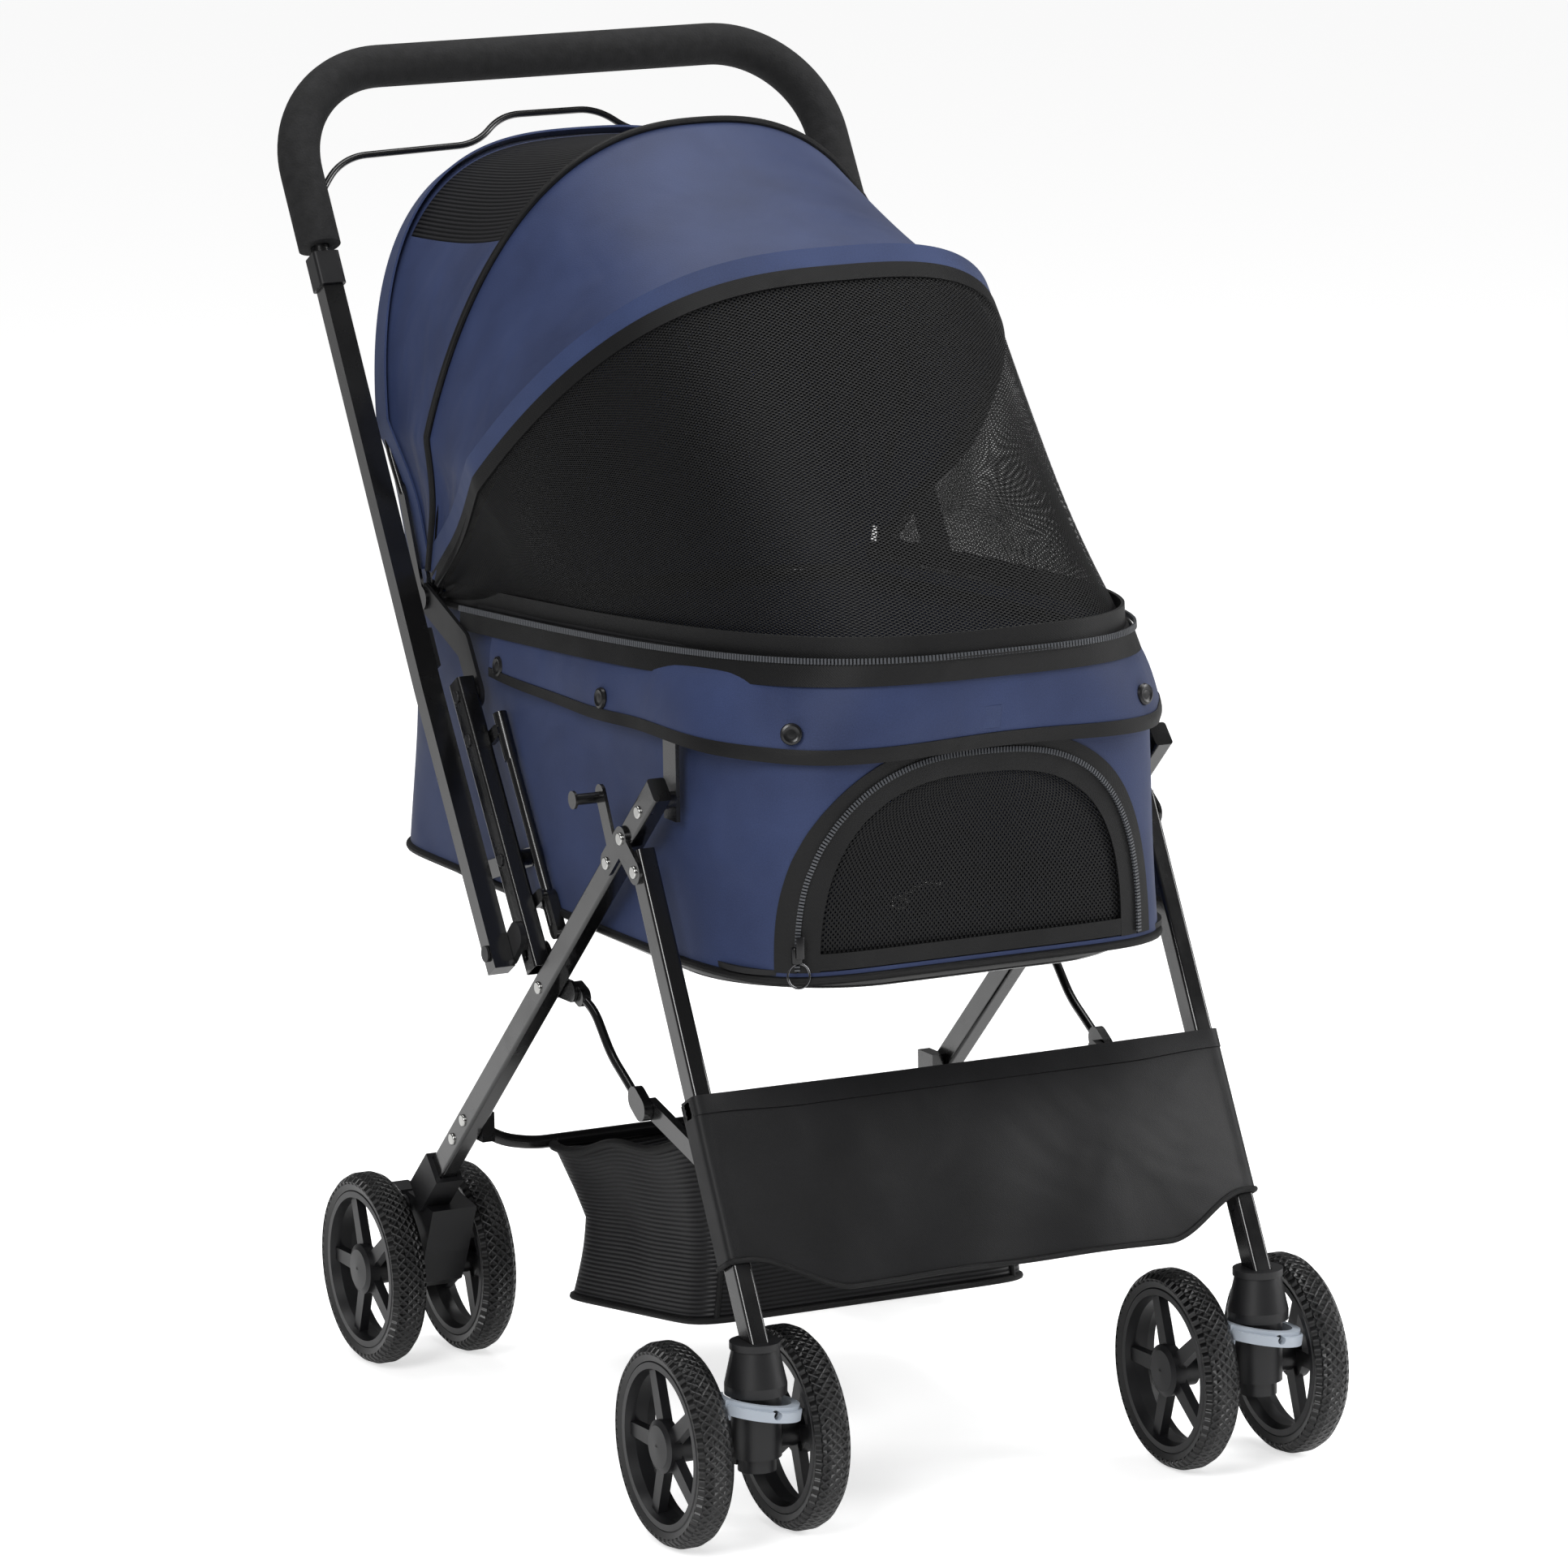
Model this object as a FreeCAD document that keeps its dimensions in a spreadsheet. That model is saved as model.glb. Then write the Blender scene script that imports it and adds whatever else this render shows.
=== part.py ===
import FreeCAD, Part
import math
import os

from FreeCAD import Placement, Rotation, Vector

# Folding pet stroller: +X to its right side, -Y to its front, +Z up, millimetres.
# The origin is on the floor under the middle of the object.

os.makedirs("parts", exist_ok=True)
doc = FreeCAD.newDocument("stroller")

# ---------------------------------------------------------------- driving dimensions
DIMENSIONS = {
    # wheels
    "wheelRadius": 72.5, "tyreWidth": 27, "rimRadius": 60, "rimWidth": 24, "rimLip": 5.5,
    "hubRadius": 13, "hubCapRadius": 19, "spokeWidth": 12, "spokeThickness": 7,
    "axleRadius": 4, "runningFit": 0.05,
    # wheel stations
    "casterX": 200, "casterStemY": -356.5, "casterTrail": 38, "casterTwin": 45,
    "rearWheelX": 190, "rearAxleY": 235, "rearTwin": 37,
    # leg tubes
    "legX": 200, "legThickness": 14, "legDepth": 19, "tubeWall": 1.2, "tubeCorner": 2.5,
    "rearLegAngle": 137.3, "rearLegPivotY": -27.8, "rearLegPivotZ": 336.7,
    "rearLegUp": 262, "rearLegDown": 290,
    "socketRimZ": 147,
    "bracketThickness": 2.5, "pinRadius": 4, "pinLength": 22,
    # posts and handle
    "postFootY": -8.4, "postFootZ": 357, "postAngle": 57, "postLength": 217,
    "handleX": 220, "handleThickness": 16, "handleDepth": 15,
    "handlePivotY": 13.9, "handlePivotZ": 356.2,
    "handleBendY": 125.5, "handleBendZ": 533.6, "barY": 375, "barZ": 962,
    "barCornerRadius": 82, "gripRadius": 16, "leverRadius": 2.6,
    # carriage
    "trayHalfWidth": 180, "trayFrontY": -319, "trayRearY": 305, "trayFloorZ": 388,
    "rimFrontY": -345, "rimRearY": 272, "fabric": 2.5,
    # hood
    "hoodPivotY": 191.5, "hoodPivotZ": 588, "hoodHalfWidth": 203, "bowRadius": 3,
    "hemAngle": 87, "hemReach": 543,
}
sheet = doc.addObject("Spreadsheet::Sheet", "Dimensions")
for row, (alias, value) in enumerate(DIMENSIONS.items(), start=1):
    sheet.set("A%d" % row, alias)
    sheet.set("B%d" % row, str(value))
    sheet.setAlias("B%d" % row, alias)
doc.recompute()


def dim(alias):
    return float(sheet.get(alias))


SIDES = (("left", -1), ("right", 1))
# turns a sketch of the side view into place: sketch x is +Y, sketch y is +Z, pad is +X
SIDE_VIEW = Rotation(Vector(1, 1, 1), 120)
subparts = {}


# ---------------------------------------------------------------- helpers
def point(y, z, x=0.0):
    return Vector(x, y, z)


def polar(start, angle, along, normal=0.0):
    """A point in the side view, along a line at this angle and off it to its left."""
    turn = math.radians(angle)
    y = start.y + along * math.cos(turn) - normal * math.sin(turn)
    z = start.z + along * math.sin(turn) + normal * math.cos(turn)
    return Vector(0, y, z)


def bind(thing, **expressions):
    for name, expression in expressions.items():
        thing.setExpression(name, expression)


def new_body(name):
    return doc.addObject("PartDesign::Body", name)


def base_plane(body, role):
    return next(f for f in body.Origin.OriginFeatures if f.Role == role)


def new_sketch(body, role, offset=0.0):
    sketch = body.newObject("Sketcher::SketchObject", body.Name + "_sketch")
    sketch.AttachmentSupport = [(base_plane(body, role), "")]
    sketch.MapMode = "FlatFace"
    sketch.AttachmentOffset = Placement(Vector(0, 0, offset), Rotation())
    return sketch


def add_outline(sketch, points):
    """A closed outline of straight lines."""
    count = len(points)
    for index, start in enumerate(points):
        end = points[(index + 1) % count]
        sketch.addGeometry(Part.LineSegment(Vector(*start, 0), Vector(*end, 0)))


def add_slot(sketch, start, end, radius):
    """A rounded bar between two centres."""
    run = Vector(end[0] - start[0], end[1] - start[1], 0)
    a, b = Vector(*start, 0), Vector(*end, 0)
    side = Vector(-run.y, run.x, 0).normalize() * radius
    out = Vector(run).normalize() * radius
    sketch.addGeometry(Part.LineSegment(a + side, b + side))
    sketch.addGeometry(Part.Arc(b + side, b + out, b - side))
    sketch.addGeometry(Part.LineSegment(b - side, a - side))
    sketch.addGeometry(Part.Arc(a - side, a - out, a + side))


def pad(body, sketch, length, both=False):
    feature = body.newObject("PartDesign::Pad", body.Name + "_pad")
    feature.Profile = sketch
    feature.Midplane = both
    bind(feature, Length=length)
    return feature


def pocket(body, sketch, length, reverse=False):
    before = body.Shape.Volume
    feature = body.newObject("PartDesign::Pocket", body.Name + "_pocket")
    feature.Profile = sketch
    feature.Reversed = reverse
    bind(feature, Length=length)
    doc.recompute()
    if body.Shape.Volume >= before:
        raise RuntimeError("pocket cut nothing in " + body.Name)
    return feature


def finish(name, thing):
    thing.Label = name
    subparts[name] = thing
    return thing


def solid_feature(name, shape):
    feature = doc.addObject("Part::Feature", name)
    feature.Shape = shape
    return finish(name, feature)


def group(name, shapes):
    """Several separate solids that share one node."""
    return solid_feature(name, Part.makeCompound(shapes))


def thickness_of(alias):
    return "Dimensions.%s + 2" % alias


def square_tube(name, start, angle, length, x_place, thickness, depth, capped, bores=()):
    """A hollow leg: its section padded along its length, one end closed if capped.

    Each bore is (distance from the start, radius), drilled across the tube along X."""
    body = new_body(name)
    section = new_sketch(body, "XY_Plane")
    half_x, half_y = dim(thickness) / 2, dim(depth) / 2
    add_outline(section, [(-half_x, -half_y), (half_x, -half_y), (half_x, half_y), (-half_x, half_y)])
    whole = pad(body, section, length)
    doc.recompute()
    long_edges = [
        "Edge%d" % (n + 1)
        for n, edge in enumerate(whole.Shape.Edges)
        if edge.Length > dim(depth) * 2
    ]
    corners = body.newObject("PartDesign::Fillet", name + "_corners")
    corners.Base = (whole, long_edges)
    bind(corners, Radius="Dimensions.tubeCorner")
    doc.recompute()
    bore = new_sketch(body, "XY_Plane")
    wall = dim("tubeWall")
    add_outline(bore, [
        (-half_x + wall, -half_y + wall), (half_x - wall, -half_y + wall),
        (half_x - wall, half_y - wall), (-half_x + wall, half_y - wall)])
    pocket(body, bore, length + (" - 3" if capped else ""), reverse=True)
    for distance, radius in bores:
        across = new_sketch(body, "YZ_Plane", half_x + 1)
        across.addGeometry(Part.Circle(Vector(0, distance, 0), Vector(0, 0, 1), radius))
        pocket(body, across, thickness_of(thickness))
    turn = math.radians(angle)
    along = Vector(0, math.cos(turn), math.sin(turn))
    across = Vector(1, 0, 0)
    body.Placement = Placement(
        Vector(x_place, start.y, start.z), Rotation(across, along.cross(across), along, "ZXY"))
    return finish(name, body)


def plate(name, x_low, thickness, bars, holes=()):
    """A flat plate in the side view, made of rounded bars, with round holes."""
    body = new_body(name)
    for start, end, radius in bars:
        sketch = new_sketch(body, "XY_Plane")
        add_slot(sketch, (start.y, start.z), (end.y, end.z), radius)
        pad(body, sketch, thickness)
    doc.recompute()
    for centre, radius in holes:
        sketch = new_sketch(body, "XY_Plane")
        sketch.addGeometry(Part.Circle(Vector(centre.y, centre.z, 0), Vector(0, 0, 1), radius))
        pocket(body, sketch, thickness, reverse=True)
    body.Placement = Placement(Vector(x_low, 0, 0), SIDE_VIEW)
    return body


def rounded_path(points, closed=False):
    """Straight runs joined by tangent arcs, each as large as its two runs allow."""
    count = len(points)
    stops = []
    for index, here in enumerate(points):
        before, after = points[index - 1], points[(index + 1) % count]
        back, ahead = before - here, after - here
        turn = (math.pi - back.getAngle(ahead)) / 2
        if turn < 0.001 or (not closed and index in (0, count - 1)):
            stops.append([here])
            continue
        reach = 0.45 * min(back.Length, ahead.Length)
        radius = reach / math.tan(turn)
        start = here + back.normalize() * reach
        end = here + ahead.normalize() * reach
        middle = here + (back + ahead).normalize() * (radius / math.cos(turn) - radius)
        stops.append([start, middle, end])
    edges = []
    last = stops[-1][-1] if closed else None
    for stop in stops:
        if last:
            edges.append(Part.LineSegment(last, stop[0]).toShape())
        if len(stop) == 3:
            edges.append(Part.Arc(*stop).toShape())
        last = stop[-1]
    return Part.Wire(edges)


def round_rod(path, radius):
    """A round rod or tube swept along a path."""
    first = path.OrderedEdges[0]
    start = first.valueAt(first.FirstParameter)
    way = first.tangentAt(first.FirstParameter)
    ring = Part.Wire([Part.Circle(start, way, radius).toShape()])
    return path.makePipeShell([ring], True, False)


def button(centre, x_face, side, radius=4.6, height=1.6):
    """A rivet head standing on a side face."""
    start = Vector(x_face, centre.y, centre.z)
    head = Part.makeCylinder(radius, height, start, Vector(side, 0, 0))
    rim = [edge for edge in head.Edges if edge.Closed and
           abs(edge.CenterOfMass.x - (x_face + side * height)) < 0.1]
    return head.makeFillet(height * 0.6, rim)


def block(x_low, x_high, y_low, y_high, z_low, z_high):
    corner = Vector(x_low, y_low, z_low)
    return Part.makeBox(x_high - x_low, y_high - y_low, z_high - z_low, corner)


def rod_x(x_low, x_high, centre, radius):
    start = Vector(x_low, centre.y, centre.z)
    return Part.makeCylinder(radius, x_high - x_low, start, Vector(1, 0, 0))


def prism_x(x_low, x_high, corners):
    """A side-view polygon, pulled along X."""
    ring = [Vector(x_low, y, z) for y, z in corners]
    face = Part.Face(Part.makePolygon(ring + ring[:1]))
    return face.extrude(Vector(x_high - x_low, 0, 0))


def bar_x(x_low, x_high, start, end, radius):
    """A rounded bar between two side-view points."""
    run = (end - start).normalize()
    side = Vector(0, -run.z, run.y) * radius
    ring = [start + side, end + side, end - side, start - side]
    body = prism_x(x_low, x_high, [(p.y, p.z) for p in ring])
    return body.fuse([rod_x(x_low, x_high, p, radius) for p in (start, end)]).removeSplitter()


def mirrored(shape):
    return shape.mirror(Vector(0, 0, 0), Vector(1, 0, 0))


def both_sides(right_shape):
    return [mirrored(right_shape), right_shape]


# ---------------------------------------------------------------- places used by several pieces
rear_leg_line = dim("rearLegAngle")
rear_leg_pivot = point(dim("rearLegPivotY"), dim("rearLegPivotZ"))


def on_rear_leg(along, normal=0.0):
    return polar(rear_leg_pivot, rear_leg_line, along, -normal)


scissor_pivot = on_rear_leg(202, -29.3)
rest_pin = on_rear_leg(193, 39.7)
leg_top_rivet = on_rear_leg(234)
socket_top = point(dim("casterStemY"), dim("socketRimZ"))
front_leg_angle = math.degrees(math.atan2(
    socket_top.z - scissor_pivot.z, socket_top.y - scissor_pivot.y))
post_foot = point(dim("postFootY"), dim("postFootZ"))
handle_pivot = point(dim("handlePivotY"), dim("handlePivotZ"))
handle_bend = point(dim("handleBendY"), dim("handleBendZ"))
hood_pivot = point(dim("hoodPivotY"), dim("hoodPivotZ"))
leg_inner = dim("legX") - dim("legThickness") / 2
leg_outer = dim("legX") + dim("legThickness") / 2


def on_post(along, normal=0.0):
    return polar(post_foot, dim("postAngle"), along, normal)


def on_front_leg(along, normal=0.0):
    """Along the front leg from the scissor pivot; normal points to the front."""
    return polar(scissor_pivot, front_leg_angle, along, -normal)


# ---------------------------------------------------------------- wheels
def make_tyre(name, centre):
    body = new_body(name)
    sketch = new_sketch(body, "XY_Plane")
    outer, inner, half = dim("wheelRadius"), dim("rimRadius"), dim("tyreWidth") / 2
    shoulder = 6.0
    add_outline_points = [
        (inner, -half + 2), (outer - shoulder, -half), (outer - 2, -half + 4), (outer, -half + 9),
        (outer, half - 9), (outer - 2, half - 4), (outer - shoulder, half), (inner, half - 2)]
    add_outline(sketch, add_outline_points)
    turned = body.newObject("PartDesign::Revolution", name + "_turned")
    turned.Profile = sketch
    turned.ReferenceAxis = (sketch, ["V_Axis"])
    turned.Angle = 360
    body.Placement = Placement(centre, Rotation(Vector(0, 0, 1), -90))
    return finish(name, body)


def make_rim(name, centre, side):
    """A five-spoke rim; its hub cap stands on the side that faces out."""
    body = new_body(name)
    sketch = new_sketch(body, "XY_Plane")
    rim, half, lip = dim("rimRadius"), dim("rimWidth") / 2, dim("rimLip")
    add_outline(sketch, [
        (rim, -half + 1), (rim, half - 1), (rim - 1, half), (rim - lip, half),
        (rim - lip - 2, half - 7), (rim - lip - 2, -half + 7), (rim - lip, -half), (rim - 1, -half)])
    ring = body.newObject("PartDesign::Revolution", name + "_ring")
    ring.Profile = sketch
    ring.ReferenceAxis = (sketch, ["V_Axis"])
    ring.Angle = 360
    spoke = new_sketch(body, "XZ_Plane", 0)
    half_spoke = dim("spokeWidth") / 2
    add_outline(spoke, [
        (8, -half_spoke), (rim - lip - 0.5, -half_spoke * 0.8),
        (rim - lip - 0.5, half_spoke * 0.8), (8, half_spoke)])
    spoke.AttachmentOffset = Placement(Vector(0, 0, -half + 4), Rotation())
    arm = pad(body, spoke, "Dimensions.spokeThickness")
    doc.recompute()
    arms = body.newObject("PartDesign::PolarPattern", name + "_spokes")
    arms.Originals = [arm]
    arms.Axis = (base_plane(body, "Y_Axis"), [""])
    arms.Angle = 360
    arms.Occurrences = 5
    body.Tip = arms
    hub = new_sketch(body, "XY_Plane")
    bore = dim("axleRadius") + dim("runningFit")
    hub_r, cap_r = dim("hubRadius"), dim("hubCapRadius")
    add_outline(hub, [
        (bore, -half), (hub_r, -half), (hub_r, half - 9), (cap_r, half - 9), (cap_r, half - 1),
        (cap_r - 4, half + 1), (0, half + 2), (0, half - 1.5), (bore, half - 1.5)])
    middle = body.newObject("PartDesign::Revolution", name + "_hub")
    middle.Profile = hub
    middle.ReferenceAxis = (hub, ["V_Axis"])
    middle.Angle = 360
    body.Placement = Placement(centre, Rotation(Vector(0, 0, 1), -90 * side))
    return finish(name, body)


def make_wheel(station, centre, side):
    make_tyre("tyre_" + station, centre)
    make_rim("rim_" + station, centre, side)


for side_name, side in SIDES:
    for place, x_middle, twin, y in (
            ("front", dim("casterX"), dim("casterTwin"), dim("casterStemY") + dim("casterTrail")),
            ("rear", dim("rearWheelX"), dim("rearTwin"), dim("rearAxleY"))):
        for where, out in (("outer", 1), ("inner", -1)):
            centre = Vector(side * (x_middle + out * twin), y, dim("wheelRadius"))
            make_wheel("%s_%s_%s" % (place, side_name, where), centre, side * out)

# ---------------------------------------------------------------- leg, post and bracket frame
POST_TAIL = 12
FRONT_LEG_HEAD = 14
FRONT_LEG_TAIL = 10
for side_name, side in SIDES:
    square_tube(
        "rear_leg_" + side_name, on_rear_leg(-dim("rearLegDown")), rear_leg_line,
        "Dimensions.rearLegUp + Dimensions.rearLegDown", side * dim("legX"),
        "legThickness", "legDepth", True)
    square_tube(
        "rear_post_" + side_name, on_post(-POST_TAIL), dim("postAngle"),
        "Dimensions.postLength + %d" % POST_TAIL, side * dim("legX"), "legThickness", "legDepth",
        True, [(POST_TAIL, dim("axleRadius") + dim("runningFit"))])

front_leg_reach = (socket_top - scissor_pivot).Length + FRONT_LEG_TAIL
for side_name, side in SIDES:
    square_tube(
        "front_leg_" + side_name, on_front_leg(front_leg_reach), front_leg_angle + 180,
        "%.3f" % (front_leg_reach + FRONT_LEG_HEAD), side * dim("legX"), "legThickness", "legDepth",
        True, [(front_leg_reach, dim("axleRadius") + dim("runningFit"))])

bracket_right = bar_x(leg_outer, leg_outer + dim("bracketThickness"), on_rear_leg(168), on_rear_leg(200), 9)
bracket_right = bracket_right.fuse([
    bar_x(leg_outer, leg_outer + dim("bracketThickness"), on_rear_leg(196), scissor_pivot, 9),
    bar_x(leg_outer, leg_outer + dim("bracketThickness"), on_rear_leg(182), on_rear_leg(194.5, 42), 6.5),
    rod_x(leg_outer, leg_outer + dim("pinLength"), rest_pin, dim("pinRadius")),
    rod_x(leg_outer + dim("pinLength"), leg_outer + dim("pinLength") + 2, rest_pin, 6.5),
    rod_x(leg_inner + 2, leg_outer + 1, scissor_pivot, dim("axleRadius")),
]).removeSplitter()
# inside each leg a plate carries the strut's pivot and the post's hinge pin
plate_low, strut_pivot = leg_inner - 2.4, point(-51.5, 337)
inner_plate = bar_x(plate_low, leg_inner, strut_pivot, rear_leg_pivot, 8).fuse([
    bar_x(plate_low, leg_inner, rear_leg_pivot, post_foot, 9),
    rod_x(plate_low, leg_outer - 2, post_foot, dim("axleRadius")),
    rod_x(183, plate_low + 1, strut_pivot, 3.5)]).removeSplitter()
group("leg_brackets", both_sides(bracket_right) + both_sides(inner_plate))

# rivet heads on the outer faces of legs, posts and brackets
plate_face = leg_outer + dim("bracketThickness")
rivets = []
for centre, face in (
        (on_rear_leg(168), plate_face), (on_rear_leg(200), plate_face), (scissor_pivot, plate_face),
        (leg_top_rivet, leg_outer), (rear_leg_pivot, leg_outer), (on_rear_leg(-187), leg_outer),
        (on_rear_leg(-214), leg_outer)):
    rivets += both_sides(button(centre, face, 1))
group("frame_rivets", rivets)

# ---------------------------------------------------------------- rear wheel housings
rear_axle = point(dim("rearAxleY"), dim("wheelRadius"))
house_low, house_high = dim("rearWheelX") - 18, dim("rearWheelX") + 18
housing = prism_x(house_low, house_high, [
    (166, 128), (192, 132), (212, 134), (238, 112), (250, 84), (249, 64), (238, 58),
    (214, 58), (196, 66), (182, 92)])
ribs = [block(house_low - 1, house_low + 4, 205, 243, z, z + 6) for z in (66, 78, 90, 102)]
ribs += [block(house_high - 4, house_high + 1, 205, 243, z, z + 6) for z in (66, 78, 90, 102)]
ribs += [block(house_low + 4, house_high - 4, 240, 256, z, z + 6) for z in (66, 78, 90)]
housing = housing.cut(ribs)
collar_start, collar_end = on_rear_leg(-dim("rearLegDown") - 8), on_rear_leg(-dim("rearLegDown") + 34)
sleeve = prism_x(dim("legX") - 11, dim("legX") + 11, [
    (p.y, p.z) for p in (
        on_rear_leg(-298, 13), on_rear_leg(-256, 13), on_rear_leg(-256, -13), on_rear_leg(-298, -13))])
housing = housing.fuse(sleeve).removeSplitter()
leg_space = prism_x(leg_inner, leg_outer, [
    (p.y, p.z) for p in (
        on_rear_leg(-290, 9.5), on_rear_leg(-200, 9.5), on_rear_leg(-200, -9.5), on_rear_leg(-290, -9.5))])
housing = housing.cut(leg_space)
housing = housing.cut(rod_x(house_low - 1, house_high + 1, rear_axle, dim("axleRadius")))
brake_pivot = point(214, 124)
brake_pin = rod_x(house_high, house_high + 4.6, brake_pivot, 4)
housing = housing.fuse(brake_pin)
axle_reach = dim("rearTwin") + dim("rimWidth") / 2 - 2
rear_axle_rod = rod_x(dim("rearWheelX") - axle_reach, dim("rearWheelX") + axle_reach, rear_axle,
                      dim("axleRadius"))
group("rear_wheel_housings", both_sides(housing) + both_sides(rear_axle_rod))

# ---------------------------------------------------------------- brake pedals
brake_low = house_high + 0.4
pedal = bar_x(brake_low, brake_low + 4, brake_pivot, point(252, 118), 7)
pedal = pedal.fuse(block(brake_low, brake_low + 4, 246, 282, 112, 124))
pedal = pedal.cut(rod_x(brake_low - 1, brake_low + 6, brake_pivot, 4 + dim("runningFit")))
tread = block(dim("rearWheelX") - 17, brake_low + 4, 262, 290, 116, 122)
pedal = pedal.fuse(tread).removeSplitter()
for side_name, side in SIDES:
    solid_feature("brake_pedal_" + side_name, pedal if side > 0 else mirrored(pedal))

# ---------------------------------------------------------------- front casters
stem = Vector(dim("casterX"), dim("casterStemY"), 0)


def at_stem(z):
    return Vector(stem.x, stem.y, z)


socket = Part.makeCone(22, 16.5, 25, at_stem(120))
socket = socket.fuse([
    Part.makeCylinder(18, 5, at_stem(145)),
    Part.makeCylinder(22, 7, at_stem(113)),
    Part.makeCylinder(6, 49, at_stem(65)),
]).removeSplitter()
leg_in_socket = prism_x(leg_inner, leg_outer, [
    (p.y, p.z) for p in (
        on_front_leg(300, 9.5), on_front_leg(359, 9.5), on_front_leg(359, -9.5), on_front_leg(300, -9.5))])
leg_clear = leg_in_socket
socket = socket.cut(leg_clear)
group("caster_sockets", both_sides(socket))

front_axle = point(dim("casterStemY") + dim("casterTrail"), dim("wheelRadius"))
caster = Part.makeCylinder(17.5, 44, at_stem(68))
caster = caster.fuse([
    Part.makeCylinder(13.5, 11, at_stem(58)),
    prism_x(dim("casterX") - 14, dim("casterX") + 14, [
        (stem.y + 4, 104), (stem.y + 26, 98), (front_axle.y + 12, 82), (front_axle.y + 11, 62),
        (front_axle.y - 2, 58), (stem.y + 4, 62)]),
    rod_x(dim("casterX") - 28, dim("casterX") + 28, front_axle, 9),
]).removeSplitter()
for z in (66, 76, 86):
    caster = caster.cut(block(dim("casterX") - 15, dim("casterX") - 10, stem.y + 20, front_axle.y - 9, z, z + 5))
    caster = caster.cut(block(dim("casterX") + 10, dim("casterX") + 15, stem.y + 20, front_axle.y - 9, z, z + 5))
caster = caster.cut([
    Part.makeCylinder(6 + dim("runningFit"), 60, at_stem(64)),
    rod_x(dim("casterX") - 30, dim("casterX") + 30, front_axle, dim("axleRadius")),
])
lock_centre = at_stem(104)
trunnion_front = Part.makeCylinder(3, 11, lock_centre + Vector(0, -27, 0), Vector(0, 1, 0))
trunnion_front = trunnion_front.cut(Part.makeCylinder(17.5, 44, at_stem(68)))
caster = caster.fuse(trunnion_front).removeSplitter()
reach = dim("casterTwin") + dim("rimWidth") / 2 - 2
front_axle_rod = rod_x(dim("casterX") - reach, dim("casterX") + reach, front_axle, dim("axleRadius"))

# the swivel lock is a tilting ring round the caster, open at the back, with a thumb tab on its left
ring = Part.makeCylinder(30, 10, at_stem(99)).cut(Part.makeCylinder(24, 12, at_stem(98)))
ring = ring.cut(block(stem.x - 40, stem.x + 40, stem.y + 14, stem.y + 40, 90, 120))
lip = Part.makeCylinder(30, 7, at_stem(99) + Vector(0, -4.4, 0))
lip = lip.cut(Part.makeCylinder(24, 12, at_stem(98)))
lip = lip.cut(block(stem.x - 40, stem.x + 40, stem.y + 6, stem.y + 40, 90, 120))
ring = ring.fuse(lip)
tab = block(stem.x - 30.2, stem.x - 24.5, stem.y - 12, stem.y + 6, 95, 109)
ring = ring.fuse(tab.cut(Part.makeCylinder(24.2, 40, at_stem(80)))).removeSplitter()
ring = ring.cut(Part.makeCylinder(3 + dim("runningFit"), 20, lock_centre + Vector(0, -40, 0), Vector(0, 1, 0)))
ring.rotate(lock_centre, Vector(0, 1, 0), 10)
for side_name, side in SIDES:
    shift = Vector(-2 * dim("casterX"), 0, 0)
    pieces = [caster, front_axle_rod]
    lock = ring.copy()
    if side < 0:
        pieces = [piece.translated(shift) for piece in pieces]
        lock = lock.translated(shift)
    group("caster_" + side_name, pieces)
    solid_feature("swivel_lock_" + side_name, lock)

# ---------------------------------------------------------------- front legs' bosses and cloth
link_end = on_front_leg(236, -14)
link_boss = rod_x(183.4, leg_inner, link_end, 5).fuse(
    bar_x(leg_inner - 2, leg_inner, link_end, on_front_leg(236, -4), 6)).removeSplitter()
group("link_bosses", both_sides(link_boss))

cloth_top, cloth_bottom = 168, 284


def cloth_slice(x_low, x_high, normal_low, normal_high, top=cloth_top, bottom=cloth_bottom):
    return prism_x(x_low, x_high, [
        (p.y, p.z) for p in (
            on_front_leg(top, normal_low), on_front_leg(top, normal_high),
            on_front_leg(bottom, normal_high), on_front_leg(bottom, normal_low))])


wrap = leg_outer + 0.4
cloth = cloth_slice(-wrap - 2.5, wrap + 2.5, 9.9, 12.4)
cloth = cloth.fuse([
    cloth_slice(wrap, wrap + 2.5, -11, 12.4), cloth_slice(-wrap - 2.5, -wrap, -11, 12.4),
    cloth_slice(-178, 178, 9.9, 12.4, bottom=318)]).removeSplitter()
solid_feature("footrest_cloth", cloth)

# ---------------------------------------------------------------- folding braces
knee_pivot = point(-157, 271.5)
link_low, link_high = 176.9, 183.0
strut_low, strut_high = 183.4, 190.2
strut_x = (strut_low + strut_high) / 2
strut_way = rounded_path([
    Vector(strut_x, strut_pivot.y - 7, strut_pivot.z - 3), Vector(strut_x, -80, 327),
    Vector(strut_x, -106, 300), Vector(strut_x, -130, 287), Vector(strut_x, -151, 275)])
strut = round_rod(strut_way, 3.3).fuse([
    bar_x(strut_low, strut_high, strut_pivot, point(-60, 334), 7),
    bar_x(strut_low, strut_high, point(-148, 277), knee_pivot, 9)])
strut = strut.cut(rod_x(strut_low - 1, strut_high + 1, strut_pivot, 3.5 + dim("runningFit")))
strut = strut.fuse(rod_x(link_low - 1, strut_low + 0.5, knee_pivot, 3.5)).removeSplitter()
group("curved_struts", both_sides(strut))
link = bar_x(link_low, link_high, knee_pivot, link_end, 7)
link = link.cut(rod_x(link_low - 2, link_high + 1, knee_pivot, 3.5 + dim("runningFit")))
group("link_tubes", both_sides(link))

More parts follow.
